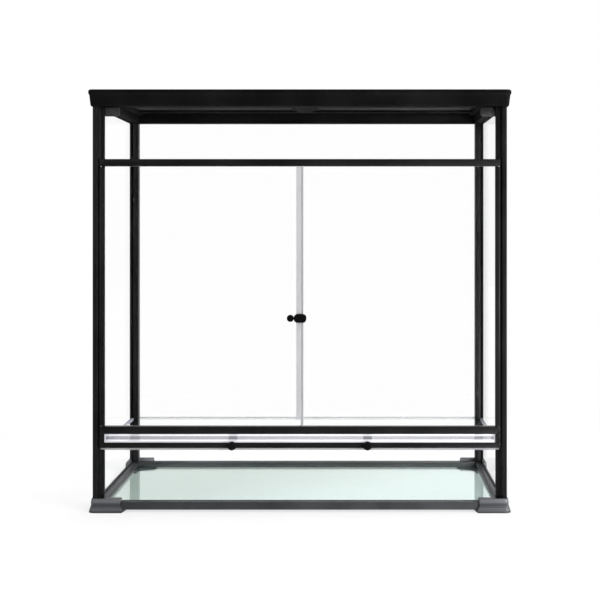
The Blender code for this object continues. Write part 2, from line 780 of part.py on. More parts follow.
def build_door(side, glass, black, clear, steel):
    """One door: glass, hinge stile and rod, seal and pull, on one upright axis."""
    word = side_name(side)
    low, high = door_levels()
    front, back = door_depths()
    axis = (x_at(side, HINGE_AXIS_INSET), y_at(FRONT, HINGE_AXIS_DEPTH))
    axle = pivot("door_axis_" + word, (*axis, low))

    outer = x_at(side, HINGE_AXIS_INSET + STILE_SLOT_START + GAP)
    inner = seal_edges(side)[0] + side * (SEAL_WEB + GAP)
    start = (outer, y_at(FRONT, front), low)
    pane = block("door_glass_" + word, start, (inner, y_at(FRONT, back), high), glass)
    through = (y_at(FRONT, front - CUT_OVERRUN), y_at(FRONT, back + CUT_OVERRUN))
    holes = [rod("bolt_hole", bolt_place(side), BOLT_RADIUS + GAP, "Y", *through, None)]
    if side == LEFT:
        holes.append(rod("turn_hole", turn_place(), BOLT_RADIUS + GAP, "Y", *through, None))
    cut(pane, holes)

    stile = prism("hinge_stile_" + word, plan(stile_section(), side, FRONT), "Z", low, high, black)
    cut(stile, [rod("bore", axis, PIN_RADIUS + GAP, "Z", DOORWAY, CROSSBAR, None)])
    ends = (DOORWAY - PIN_IN_BAR, CROSSBAR + PIN_IN_BAR)
    hinge_rod = rod("hinge_rod_" + word, axis, PIN_RADIUS, "Z", *ends, steel)
    seal_low = low + WIDE_SEAL_LIFT if side == LEFT else low
    seal = prism("door_seal_" + word, seal_section(side), "Z", seal_low, high, clear)
    pull = build_pull(side, black)
    if side == LEFT:
        build_turn_button(black, axle)
    for piece in (pane, stile, hinge_rod, seal, pull):
        hang(piece, axle)


# Fixed panes, the clear strips between them and the floor glass

def wall_pane(name, end, inset, low, high, material):
    """A fixed pane in the front or back grooves of the posts."""
    edge = POST_SIZE - POST_GROOVE_DEPTH + GAP
    start = (x_at(LEFT, edge), y_at(end, inset + GAP), low)
    stop = (x_at(RIGHT, edge), y_at(end, inset + GAP + GLASS), high)
    return block(name, start, stop, material)


def side_pane(name, side, low, high, material):
    """A fixed pane in the side grooves of the posts."""
    edge = POST_SIZE - POST_GROOVE_DEPTH + GAP
    start = (x_at(side, SIDE_PANE_INSET + GAP), y_at(FRONT, edge), low)
    stop = (x_at(side, SIDE_PANE_INSET + GAP + GLASS), y_at(BACK, edge), high)
    return block(name, start, stop, material)


def joint_strip_section():
    """An H section round the joint of two panes, as (inset, height) points."""
    half = JOINT_STRIP_HEIGHT / 2
    web = JOINT_STRIP_WEB / 2
    outer = SIDE_PANE_INSET - JOINT_STRIP_WALL
    inner = SIDE_PANE_INSET + GROOVE + JOINT_STRIP_WALL
    near = outer + JOINT_STRIP_WALL
    far = inner - JOINT_STRIP_WALL
    level = WALL_JOINT_HEIGHT
    return [
        (outer, level - half), (near, level - half), (near, level - web), (far, level - web),
        (far, level - half), (inner, level - half), (inner, level + half), (far, level + half),
        (far, level + web), (near, level + web), (near, level + half), (outer, level + half),
    ]


def build_glazing(glass, clear):
    """Fixed panes on four sides, their joint strips, and the floor glass."""
    seat = RAIL_TOP - GROOVE_DEPTH + GAP
    below = WALL_JOINT_HEIGHT - JOINT_STRIP_WEB / 2 - GAP
    above = WALL_JOINT_HEIGHT + JOINT_STRIP_WEB / 2 + GAP
    top = TOP_FRAME + GROOVE_DEPTH - GAP
    front = FRONT_PANE_INSET
    wall_pane("lower_front_glass", FRONT, front, seat, LOWER_BAR + LOWER_PANE_SEAT - GAP, glass)
    wall_pane("upper_front_glass", FRONT, front, UPPER_GLASS - GROOVE_DEPTH + GAP, top, glass)
    wall_pane("lower_back_glass", BACK, SIDE_PANE_INSET, seat, below, glass)
    wall_pane("upper_back_glass", BACK, SIDE_PANE_INSET, above, top, glass)
    outline = [(y_at(BACK, inset), level) for inset, level in joint_strip_section()]
    ends = (x_at(LEFT, BETWEEN_POSTS), x_at(RIGHT, BETWEEN_POSTS))
    prism("joint_strip_back", outline, "X", *ends, clear)
    for side in (LEFT, RIGHT):
        word = side_name(side)
        side_pane("lower_side_glass_" + word, side, seat, below, glass)
        side_pane("upper_side_glass_" + word, side, above, top, glass)
        outline = [(x_at(side, inset), level) for inset, level in joint_strip_section()]
        ends = (y_at(FRONT, BETWEEN_POSTS), y_at(BACK, BETWEEN_POSTS))
        prism("joint_strip_" + word, outline, "Y", *ends, clear)
    edge = POST_SIZE - FLOOR_GROOVE_DEPTH + GAP
    start = (x_at(LEFT, BETWEEN_POSTS), y_at(FRONT, edge), FLOOR_GLASS)
    stop = (x_at(RIGHT, BETWEEN_POSTS), y_at(BACK, edge), FLOOR_GLASS + GLASS)
    block("floor_glass", start, stop, glass)


# Bottom rails and corner feet

def rail_section(pane, carries_floor):
    """Bottom rail: a groove for the pane above and, where asked, one for the floor glass."""
    seat = RAIL_TOP - GROOVE_DEPTH
    outline = [
        (0.0, RAIL_LIFT), (0.0, RAIL_TOP), (pane, RAIL_TOP), (pane, seat), (pane + GROOVE, seat),
        (pane + GROOVE, RAIL_TOP), (POST_SIZE, RAIL_TOP),
    ]
    if carries_floor:
        low = FLOOR_GLASS - GAP
        high = low + GROOVE
        floor = POST_SIZE - FLOOR_GROOVE_DEPTH
        outline += [(POST_SIZE, high), (floor, high), (floor, low), (POST_SIZE, low)]
    outline.append((POST_SIZE, RAIL_LIFT))
    return outline


def build_rails(material):
    """Four bottom rails between the posts; the front and back ones carry the floor glass."""
    ends = (x_at(LEFT, BETWEEN_POSTS), x_at(RIGHT, BETWEEN_POSTS))
    for end, name, pane in ((FRONT, "front", FRONT_PANE_INSET), (BACK, "back", SIDE_PANE_INSET)):
        outline = [(y_at(end, inset), level) for inset, level in rail_section(pane, True)]
        prism("bottom_rail_" + name, outline, "X", *ends, material)
    ends = (y_at(FRONT, BETWEEN_POSTS), y_at(BACK, BETWEEN_POSTS))
    for side in (LEFT, RIGHT):
        section = rail_section(SIDE_PANE_INSET, False)
        outline = [(x_at(side, inset), level) for inset, level in section]
        prism("bottom_rail_" + side_name(side), outline, "Y", *ends, material)


def foot_outline(flare):
    """Plan of a corner foot's two arms at one flare, as insets."""
    growth = flare - FOOT_FLARE * FOOT_PROFILE[-1][1]
    inner = FOOT_ARM + growth
    outer = FOOT_OUTER_ARM + growth
    centre = (FOOT_CORNER_ROUND, FOOT_CORNER_ROUND)
    points = arc(centre, FOOT_CORNER_ROUND + flare, 180.0, 270.0, 5)
    points += [(outer, -flare), (inner, FOOT_INNER_WIDTH), (FOOT_INNER_WIDTH, FOOT_INNER_WIDTH)]
    return points + [(FOOT_INNER_WIDTH, inner), (-flare, outer)]


def build_foot(side, end, material):
    """A corner foot: a flared shoe round the post and rails, with a web under the floor glass."""
    rings = []
    for height, share in FOOT_PROFILE:
        outline = plan(foot_outline(FOOT_FLARE * share), side, end)
        rings.append([(x, y, FOOT_HEIGHT * height) for x, y in outline])
    name = "corner_foot_front_" if end == FRONT else "corner_foot_rear_"
    foot = loft(name + side_name(side), rings, material)
    inner = FOOT_INNER_WIDTH - LUG_OVERLAP
    web = [(inner, inner), (FOOT_ARM, inner)]
    web += arc((FOOT_ARM, FOOT_ARM), FOOT_ARM - FOOT_INNER_WIDTH, 270.0, 180.0, 8)
    web.append((inner, FOOT_ARM))
    join(foot, [prism("web", plan(web, side, end), "Z", 0.0, FOOT_PLATE - GAP / 2, None)])

    far = 2 * FOOT_ARM
    above = FOOT_HEIGHT + CUT_OVERRUN
    pane = FRONT_PANE_INSET if end == FRONT else SIDE_PANE_INSET
    rooms = (
        ((-GAP, far), (-GAP, far), RAIL_TOP + GAP),
        ((-GAP, POST_SIZE + GAP), (-GAP, POST_SIZE + GAP), above),
        ((SIDE_PANE_INSET - GAP, far), (pane - GAP, far), above),
    )
    cutters = []
    for across, deep, top in rooms:
        start = (x_at(side, across[0]), y_at(end, deep[0]), FOOT_PLATE)
        stop = (x_at(side, across[1]), y_at(end, deep[1]), top)
        cutters.append(block("foot_room", start, stop, None))
    return cut(foot, cutters)


# Top frame

def top_frame_section():
    """The moulded ring: a tapered fascia with a bead on top, a rim and a ledge for the lids."""
    foot = TOP_FRAME
    neck = TOP - BEAD_HEIGHT - BEAD_UNDERCUT
    centre = (FASCIA_FOOT_ROUND - FASCIA_FOOT_REACH, foot + FASCIA_FOOT_ROUND)
    points = [(BEAD_ROUND - FASCIA_REACH, TOP), (-FASCIA_REACH, TOP - BEAD_ROUND)]
    points += [(-FASCIA_REACH, TOP - BEAD_HEIGHT), (-FASCIA_NECK_REACH, neck)]
    points += arc(centre, FASCIA_FOOT_ROUND, 180.0, 270.0, 2)
    ledge = LEDGE - LEDGE_THICKNESS
    points += [(FRAME_WALL_WIDTH, foot), (FRAME_WALL_WIDTH, ledge)]
    points += [(RIM_WIDTH + LEDGE_WIDTH, ledge), (RIM_WIDTH + LEDGE_WIDTH, LEDGE)]
    return points + [(RIM_WIDTH, LEDGE), (RIM_WIDTH, TOP)]


def knuckle(reach, start, end):
    """A hinge knuckle about the lids' axis with a web reaching in y to one side."""
    turn = 1 if reach > 0 else -1
    outline = arc((LID_AXIS_Y, LID_AXIS_Z), KNUCKLE_RADIUS, 90.0, 90.0 + turn * 180.0, 8)
    far = LID_AXIS_Y + reach
    outline += [(far, LID_AXIS_Z - KNUCKLE_RADIUS), (far, LID_AXIS_Z + KNUCKLE_RADIUS)]
    return prism("knuckle", outline, "X", start, end, None)


def lid_columns(side):
    """Inner and outer edge of a lid, in x."""
    return side * (CENTRE_BAR_WIDTH / 2 + LID_CLEARANCE), x_at(side, RIM_WIDTH + LID_CLEARANCE)


def lid_rows():
    """Front and rear edge of the lids, in y."""
    return y_at(FRONT, RIM_WIDTH + LID_CLEARANCE), LID_AXIS_Y - KNUCKLE_ROOM


def hinge_centres(side):
    """The middles of a lid's two hinges, in x."""
    middle = sum(lid_columns(side)) / 2
    return middle - LID_HINGE_SPACING / 2, middle + LID_HINGE_SPACING / 2


def deck_knuckles(side):
    """The deck's knuckles, one at each end of a lid's knuckles."""
    pieces = []
    for centre in hinge_centres(side):
        for turn in (LEFT, RIGHT):
            start = centre + turn * (LID_KNUCKLE / 2 + GAP)
            pieces.append(knuckle(KNUCKLE_WEB, start, start + turn * DECK_KNUCKLE))
    return pieces


def lid_bore(side):
    """Cutter for a lid's hinge rod, through its knuckles and the deck's."""
    centre = (LID_AXIS_Y, LID_AXIS_Z)
    return rod("rod_bore", centre, LID_PIN_RADIUS + GAP, "X", *lid_columns(side), None)


def inlet_edges(side):
    """Inner and outer edge of one cable inlet, in x."""
    middle = side * INLET_SPACING / 2
    return middle - side * INLET_LENGTH / 2, middle + side * INLET_LENGTH / 2


def inlet_row():
    """Centre line of the cable inlets, in y."""
    front = LID_AXIS_Y + KNUCKLE_ROOM
    return (front + y_at(BACK, RIM_WIDTH)) / 2


def inlet_cutters(side):
    """Cutters for one cable inlet, its slide's track and the mouth over the track."""
    inner, outer = inlet_edges(side)
    middle = inlet_row()
    half = INLET_WIDTH / 2
    track = SLIDE_WIDTH / 2 + GAP
    mouth = track - SLIDE_LIP
    low = SLIDE_ROOF - SLIDE_THICKNESS - 2 * GAP
    start = outer + side * (SLIDE_MARGIN + GAP)
    stop = inner - side * (SLIDE_MARGIN + SLIDE_TRAVEL + GAP)
    above = TOP + CUT_OVERRUN
    return [
        block("inlet", (inner, middle - half, LEDGE), (outer, middle + half, above), None),
        block("track", (start, middle - track, low), (stop, middle + track, SLIDE_ROOF), None),
        block("mouth", (start, middle - mouth, low), (stop, middle + mouth, above), None),
    ]


def frame_cutters():
    """Cutters for post sockets, pane grooves, rod bores and cable inlets."""
    cutters = []
    below = TOP_FRAME - CUT_OVERRUN
    socket = TOP_FRAME + POST_IN_FRAME + GAP
    groove = TOP_FRAME + GROOVE_DEPTH
    size = POST_SIZE + GAP
    for side in (LEFT, RIGHT):
        for end in (FRONT, BACK):
            start = (x_at(side, -GAP), y_at(end, -GAP), below)
            cutters.append(block("socket", start, (x_at(side, size), y_at(end, size), socket), None))
        start = (x_at(side, SIDE_PANE_INSET), y_at(FRONT, POST_SIZE), below)
        stop = (x_at(side, SIDE_PANE_INSET + GROOVE), y_at(BACK, POST_SIZE), groove)
        cutters.append(block("side_groove", start, stop, None))
        cutters.append(lid_bore(side))
        cutters += inlet_cutters(side)
    for end, pane in ((FRONT, FRONT_PANE_INSET), (BACK, SIDE_PANE_INSET)):
        start = (x_at(LEFT, POST_SIZE), y_at(end, pane), below)
        stop = (x_at(RIGHT, POST_SIZE), y_at(end, pane + GROOVE), groove)
        cutters.append(block("groove", start, stop, None))
    return cutters


def build_top_frame(material):
    """One moulding: ring, rear deck, centre bar and hinge knuckles."""
    half = (FRAME_WIDTH / 2, FRAME_DEPTH / 2)
    ring = ring_frame("top_frame", (0.0, 0.0), *half, top_frame_section(), FRAME_CORNER_ROUND, material)

    inset = RIM_WIDTH - LUG_OVERLAP
    low = LEDGE - LEDGE_THICKNESS
    wall = LID_AXIS_Y + KNUCKLE_ROOM
    edge = LID_AXIS_Y - KNUCKLE_ROOM - LEDGE_WIDTH
    ceiling = DECK_TOP - DECK_THICKNESS
    deck = [
        (edge, low), (edge, LEDGE), (wall, LEDGE), (wall, DECK_TOP), (y_at(BACK, inset), DECK_TOP),
        (y_at(BACK, inset), ceiling), (wall + DECK_WALL, ceiling), (wall + DECK_WALL, low),
    ]
    parts = [prism("deck", deck, "X", x_at(LEFT, inset), x_at(RIGHT, inset), None)]
    stem = CENTRE_BAR_WIDTH / 2
    ledge = stem + CENTRE_LEDGE
    level = DECK_TOP - GAP
    tee = [
        (-ledge, low), (ledge, low), (ledge, LEDGE), (stem, LEDGE), (stem, level), (-stem, level),
        (-stem, LEDGE), (-ledge, LEDGE),
    ]
    parts.append(prism("tee", tee, "Y", y_at(FRONT, inset), wall + DECK_WALL / 2, None))
    for side in (LEFT, RIGHT):
        parts += deck_knuckles(side)
    join(ring, parts)
    cut(ring, frame_cutters())
    return smooth(ring)


def build_gusset(side, material):
    """A small corner gusset under the front of the top frame, behind the pane."""
    outer = BETWEEN_POSTS
    inner = outer + GUSSET_LENGTH
    high = TOP_FRAME - GAP
    low = high - GUSSET_HEIGHT
    points = [(outer, high), (outer, low)]
    points += arc((inner - GUSSET_ROUND, low + GUSSET_ROUND), GUSSET_ROUND, 270.0, 360.0, 4)
    points.append((inner, high))
    outline = [(x_at(side, inset), level) for inset, level in points]
    front = FRONT_PANE_INSET + GROOVE + GAP
    ends = (y_at(FRONT, front), y_at(FRONT, front + GUSSET_THICKNESS))
    prism("corner_gusset_" + side_name(side), outline, "Y", *ends, material)


# Mesh lids

def lid_section():
    """A lid frame's section: rounded top edges and a rebate below for the mesh."""
    high = LID_TOP
    low = high - LID_EDGE_ROUND
    rebate = LID_STRIP - REBATE_WIDTH
    ceiling = LID_BOTTOM + REBATE_DEPTH
    return [
        (0.0, LID_BOTTOM), (0.0, low), (LID_EDGE_ROUND, high), (LID_STRIP - LID_EDGE_ROUND, high),
        (LID_STRIP, low), (LID_STRIP, ceiling), (rebate, ceiling), (rebate, LID_BOTTOM),
    ]


def build_lid_pull(side, place, material):
    """A round pull on top of a lid's frame, with its nut below."""
    nut = LID_BOTTOM - GAP
    steps = [
        (nut - LID_PULL_NUT_HEIGHT, LID_PULL_NUT_FACE), (nut - LID_PULL_NUT_BEVEL, LID_PULL_NUT),
        (nut, LID_PULL_NUT), (nut, LID_PULL_SHANK), (LID_TOP + GAP, LID_PULL_SHANK),
    ]
    for height, share in LID_PULL_PROFILE:
        steps.append((LID_TOP + GAP + LID_PULL_HEIGHT * height, LID_PULL_RADIUS * share))
    rings = turned_rings(steps, place, "Z", ROUND_SIDES)
    return smooth(loft("lid_pull_" + side_name(side), rings, material))


def build_lid(side, black, net_black, steel):
    """One lid: a frame with hinge knuckles, its mesh, its pull, and the hinge rod."""
    word = side_name(side)
    inner, outer = lid_columns(side)
    front, rear = lid_rows()
    half = (abs(outer - inner) / 2, (rear - front) / 2)
    centre = ((inner + outer) / 2, (front + rear) / 2)
    frame = ring_frame("lid_frame_" + word, centre, *half, lid_section(), 0.0, black)
    hinges = hinge_centres(side)
    reach = LID_KNUCKLE / 2
    join(frame, [knuckle(-KNUCKLE_WEB, hinge - reach, hinge + reach) for hinge in hinges])
    place = (inner + side * LID_PULL_INSET, centre[1])
    above = (LID_BOTTOM - CUT_OVERRUN, LID_TOP + CUT_OVERRUN)
    cut(frame, [lid_bore(side), rod("pull_hole", place, LID_PULL_SHANK + GAP, "Z", *above, None)])

    edge = LID_STRIP - REBATE_WIDTH + GAP
    columns = sorted((inner + side * edge, outer - side * edge))
    columns = even_bars(*columns, MESH_BORDER, MESH_WIRE, MESH_COLUMNS)
    rows = even_bars(front + edge, rear - edge, MESH_BORDER, MESH_WIRE, MESH_ROWS)
    high = LID_BOTTOM + REBATE_DEPTH - GAP
    net = lattice("lid_mesh_" + word, columns, rows, "Z", high - MESH_THICKNESS, high, net_black)

    reach = LID_KNUCKLE / 2 + GAP + DECK_KNUCKLE
    axis = (LID_AXIS_Y, LID_AXIS_Z)
    ends = (hinges[0] - reach, hinges[1] + reach)
    rod("lid_hinge_rod_" + word, axis, LID_PIN_RADIUS, "X", *ends, steel)
    axle = pivot("lid_axis_" + word, (centre[0], *axis))
    for piece in (frame, net, build_lid_pull(side, place, black)):
        hang(piece, axle)


def build_cable_slide(side, material):
    """A sliding cover over one cable inlet, with a grip ridge."""
    inner, outer = inlet_edges(side)
    middle = inlet_row()
    half = SLIDE_WIDTH / 2
    high = SLIDE_ROOF - GAP
    low = high - SLIDE_THICKNESS
    start = (outer + side * SLIDE_MARGIN, middle - half, low)
    stop = (inner - side * SLIDE_MARGIN, middle + half, high)
    slide = block("cable_slide_" + side_name(side), start, stop, material)
    ridge = half - SLIDE_LIP - 2 * GAP
    start = (outer, middle - ridge, low + GAP)
    stop = (outer - side * SLIDE_GRIP_WIDTH, middle + ridge, DECK_TOP + SLIDE_GRIP_RISE)
    join(slide, [block("grip", start, stop, None)])
    return hang(slide, pivot("cable_slide_axis_" + side_name(side), (side * INLET_SPACING / 2, middle, low)))


# Main

def clear_scene():
    """Remove whatever the scene holds."""
    for item in list(bpy.data.objects):
        bpy.data.objects.remove(item)


def main():
    """Build every sub-part."""
    clear_scene()
    black = finish("black_profile", (0.02, 0.02, 0.022), 0.35)
    clear = finish("clear_plastic", (0.85, 0.86, 0.9), 0.15, transmission=0.8)
    glass = finish("glass", (0.93, 0.97, 0.95), 0.02, transmission=1.0)
    steel = finish("hinge_steel", (0.45, 0.45, 0.46), 0.35, metallic=1.0)
    rail_grey = finish("rail_grey", (0.05, 0.053, 0.055), 0.4)
    foot_grey = finish("foot_grey", (0.09, 0.092, 0.1), 0.45)
    net_black = finish("net_black", (0.03, 0.03, 0.03), 0.6)
    build_posts(black)
    build_crossbar(black)
    build_vent_bars(black)
    build_vent_strip(clear)
    build_glazing(glass, clear)
    build_rails(rail_grey)
    build_top_frame(black)
    for side in (LEFT, RIGHT):
        build_vent_end(side, black)
        build_vent_knob(side, black)
        build_door(side, glass, black, clear, steel)
        build_foot(side, FRONT, foot_grey)
        build_foot(side, BACK, foot_grey)
        build_gusset(side, foot_grey)
        build_lid(side, black, net_black, steel)
        build_cable_slide(side, black)


main()
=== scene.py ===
"""Looks of the front-opening terrarium: finishes, fine parts, studio and camera.

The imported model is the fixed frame. Each sub-assembly is a class that dresses
its nodes and builds the fine parts that stand for them or sit on them. All
lengths are metres in the frame's own axes: the doors face -Y, +Z is up.
"""
from __future__ import annotations

import json
import logging
import math
from dataclasses import dataclass
from enum import Enum
from typing import Any, Iterable, Mapping, Sequence, Union

import bmesh
import bpy
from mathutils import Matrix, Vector

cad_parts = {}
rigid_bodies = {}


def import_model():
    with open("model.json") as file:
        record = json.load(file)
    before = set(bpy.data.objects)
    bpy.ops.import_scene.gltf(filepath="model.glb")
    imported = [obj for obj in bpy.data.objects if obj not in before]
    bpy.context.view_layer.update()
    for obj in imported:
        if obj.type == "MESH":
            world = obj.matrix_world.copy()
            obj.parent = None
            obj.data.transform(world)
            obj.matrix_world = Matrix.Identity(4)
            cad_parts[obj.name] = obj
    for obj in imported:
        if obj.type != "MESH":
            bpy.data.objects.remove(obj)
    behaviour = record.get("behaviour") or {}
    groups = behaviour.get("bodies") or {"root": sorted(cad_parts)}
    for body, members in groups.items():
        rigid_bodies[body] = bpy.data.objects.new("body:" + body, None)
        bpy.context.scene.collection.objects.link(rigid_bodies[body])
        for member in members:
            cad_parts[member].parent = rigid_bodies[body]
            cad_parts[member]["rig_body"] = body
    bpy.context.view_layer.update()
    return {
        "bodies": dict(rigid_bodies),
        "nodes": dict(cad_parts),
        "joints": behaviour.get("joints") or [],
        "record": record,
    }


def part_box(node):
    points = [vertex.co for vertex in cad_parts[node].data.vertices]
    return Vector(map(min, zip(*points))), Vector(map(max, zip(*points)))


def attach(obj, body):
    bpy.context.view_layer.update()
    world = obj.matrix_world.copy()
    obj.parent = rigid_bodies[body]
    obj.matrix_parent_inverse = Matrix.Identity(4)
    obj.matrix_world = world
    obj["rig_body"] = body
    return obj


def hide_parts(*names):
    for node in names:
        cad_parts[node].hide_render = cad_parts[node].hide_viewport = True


LOG = logging.getLogger("terrarium")

Colour = tuple[float, float, float]
Point = tuple[float, float, float]
Pair = tuple[float, float]
Pairs = tuple[Pair, ...]
Rings = list[list[Point]]
Inputs = Mapping[Any, Any]
Settings = Union[Mapping[str, Any], None]
Node = bpy.types.Node
Socket = bpy.types.NodeSocket
Material = bpy.types.Material
Mesh = bpy.types.Mesh


class Axis(Enum):
    """The way in which a profile runs or a pane faces."""

    X = (1.0, 0.0, 0.0)
    Y = (0.0, 1.0, 0.0)
    Z = (0.0, 0.0, 1.0)
    NONE = (0.0, 0.0, 0.0)

    def stretch(self, share: float) -> tuple[float, ...]:
        """Scales that draw a pattern out along this axis."""
        return tuple(share if part else 1.0 for part in self.value)


class Side(Enum):
    """The left or right copy of a paired part, with its sign in x."""

    LEFT = -1
    RIGHT = 1

    @property
    def word(self) -> str:
        """The side as it stands in node names."""
        return self.name.lower()


class Graph:
    """A node tree that is written node by node."""

    def __init__(self, tree: bpy.types.NodeTree) -> None:
        """Start on a tree and empty it."""
        self.tree = tree
        tree.nodes.clear()

    def add(self, kind: str, settings: Settings = None, inputs: Inputs | None = None) -> Node:
        """Add one node, its settings first and then its inputs.

        Args:
            kind: The node's type name.
            settings: Properties of the node, and stops for a colour ramp.
            inputs: Values or links of its sockets, by name or number.

        Returns:
            The new node.
        """
        node = self.tree.nodes.new(kind)
        for name, value in (settings or {}).items():
            if name == "stops":
                self._set_stops(node, value)
            else:
                setattr(node, name, value)
        for key, value in (inputs or {}).items():
            self.feed(node.inputs[key], value)
        return node

    def feed(self, socket: Socket, value: Any) -> None:
        """Link a socket or set its value.

        Args:
            socket: The input socket.
            value: A Value, an output socket or a plain value.
        """
        if isinstance(value, Value):
            self.tree.links.new(value.socket, socket)
        elif isinstance(value, Socket):
            self.tree.links.new(value, socket)
        elif socket.type == "RGBA" and len(value) == 3:
            socket.default_value = (*value, 1.0)
        else:
            socket.default_value = value

    def out(self, kind: str, settings: Settings, inputs: Inputs, output: Any = 0) -> Socket:
        """Add a node and take one of its outputs."""
        return self.add(kind, settings, inputs).outputs[output]

    def value(self, kind: str, settings: Settings, inputs: Inputs, output: Any = 0) -> Value:
        """Add a node and take one of its outputs as a number."""
        return Value(self, self.out(kind, settings, inputs, output))

    def split(self, vector: Any) -> tuple[Value, ...]:
        """The parts of a vector along X, Y and Z."""
        node = self.add("ShaderNodeSeparateXYZ", None, {0: vector})
        return tuple(Value(self, node.outputs[name]) for name in "XYZ")

    def colour_mix(self, factor: Any, first: Any, second: Any) -> Socket:
        """Mix two colours, where the factor is the share of the second."""
        return self.out("ShaderNodeMix", {"data_type": "RGBA"}, {0: factor, 6: first, 7: second}, 2)

    def scaled(self, vector: Any, scale: Sequence[float]) -> Socket:
        """Multiply a vector by another, part by part."""
        return self.out("ShaderNodeVectorMath", {"operation": "MULTIPLY"}, {0: vector, 1: scale})

    def noise(self, place: Any, scale: float, detail: float = 2.0, roughness: float = 0.5) -> Value:
        """Soft random values over a place."""
        inputs = {"Vector": place, "Scale": scale, "Detail": detail, "Roughness": roughness}
        return self.value("ShaderNodeTexNoise", None, inputs)

    @staticmethod
    def _set_stops(node: Node, stops: Sequence[tuple[float, Colour]]) -> None:
        """Give a colour ramp its stops.

        Args:
            node: The colour ramp's node.
            stops: Places from 0 to 1, each with its colour.
        """
        ramp = node.color_ramp
        while len(ramp.elements) > 1:
            ramp.elements.remove(ramp.elements[-1])
        for number, (place, colour) in enumerate(stops):
            element = ramp.elements[0] if number == 0 else ramp.elements.new(place)
            element.position = place
            element.color = (*colour, 1.0)


class Value:
    """A number in a node tree, used as in plain arithmetic."""

    def __init__(self, graph: Graph, socket: Socket) -> None:
        """Wrap an output socket of a graph."""
        self.graph = graph
        self.socket = socket

    def _maths(self, operation: str, *numbers: Any) -> Value:
        """Add a Math node for an operation on numbers or values."""
        inputs = dict(enumerate(numbers))
        return self.graph.value("ShaderNodeMath", {"operation": operation}, inputs)

    def __add__(self, other: Number) -> Value:
        """This value plus another."""
        return self._maths("ADD", self, other)

    __radd__ = __add__

    def __sub__(self, other: Number) -> Value:
        """This value less another."""
        return self._maths("SUBTRACT", self, other)

    def __rsub__(self, other: Number) -> Value:
        """Another less this value."""
        return self._maths("SUBTRACT", other, self)

    def __mul__(self, other: Number) -> Value:
        """This value times another."""
        return self._maths("MULTIPLY", self, other)

    __rmul__ = __mul__

    def __truediv__(self, other: Number) -> Value:
        """This value over another."""
        return self._maths("DIVIDE", self, other)

    def __abs__(self) -> Value:
        """This value without its sign."""
        return self._maths("ABSOLUTE", self)

    def cosine(self) -> Value:
        """The cosine of this value, in radians."""
        return self._maths("COSINE", self)

    def rounded(self) -> Value:
        """This value to the nearest whole number."""
        return self._maths("ROUND", self)

    def least(self, other: Number) -> Value:
        """The lesser of this value and another."""
        return self._maths("MINIMUM", self, other)

    def most(self, other: Number) -> Value:
        """The greater of this value and another."""
        return self._maths("MAXIMUM", self, other)

    def ramp(self, low: float, high: float, start: float = 0.0, end: float = 1.0) -> Value:
        """Rise smoothly from start to end while this value goes from low to high."""
        inputs = {"Value": self, "From Min": low, "From Max": high, "To Min": start, "To Max": end}
        return self.graph.value("ShaderNodeMapRange", {"interpolation_type": "SMOOTHSTEP"}, inputs)


Number = Union[float, Value]


class MaterialGraph(Graph):
    """The node tree of one material, with its coordinates and its output."""

    def __init__(self, name: str) -> None:
        """Make a material and clear its tree.

        Args:
            name: The material's name.
        """
        self.material = bpy.data.materials.new(name)
        self.material.use_nodes = True
        super().__init__(self.material.node_tree)
        self.coordinates = self.add("ShaderNodeTexCoord")

    @property
    def place(self) -> Socket:
        """Object coordinates, in metres."""
        return self.coordinates.outputs["Object"]

    @property
    def facing(self) -> Socket:
        """The surface's normal in the object's own axes."""
        return self.coordinates.outputs["Normal"]

    def edges(self) -> Value:
        """1 on eased edges and rounds, 0 on faces that lie square to the axes."""
        x, y, z = (abs(part) for part in self.split(self.facing))
        return (1.0 - x.most(y).most(z)).ramp(0.015, 0.16)

    def principled(self, **inputs: Any) -> Node:
        """Add the Principled shader, with underscores for spaces in socket names."""
        named = {name.replace("_", " "): value for name, value in inputs.items()}
        return self.add("ShaderNodeBsdfPrincipled", None, named)

    def bump(self, height: Value, distance: float) -> Socket:
        """A normal from a height, in metres of full height."""
        inputs = {"Height": height, "Distance": distance, "Strength": 1.0}
        return self.out("ShaderNodeBump", None, inputs, "Normal")

    def close(self, shader: Node) -> Material:
        """Link the shader to the output and hand the material over."""
        self.add("ShaderNodeOutputMaterial", None, {"Surface": shader.outputs[0]})
        return self.material


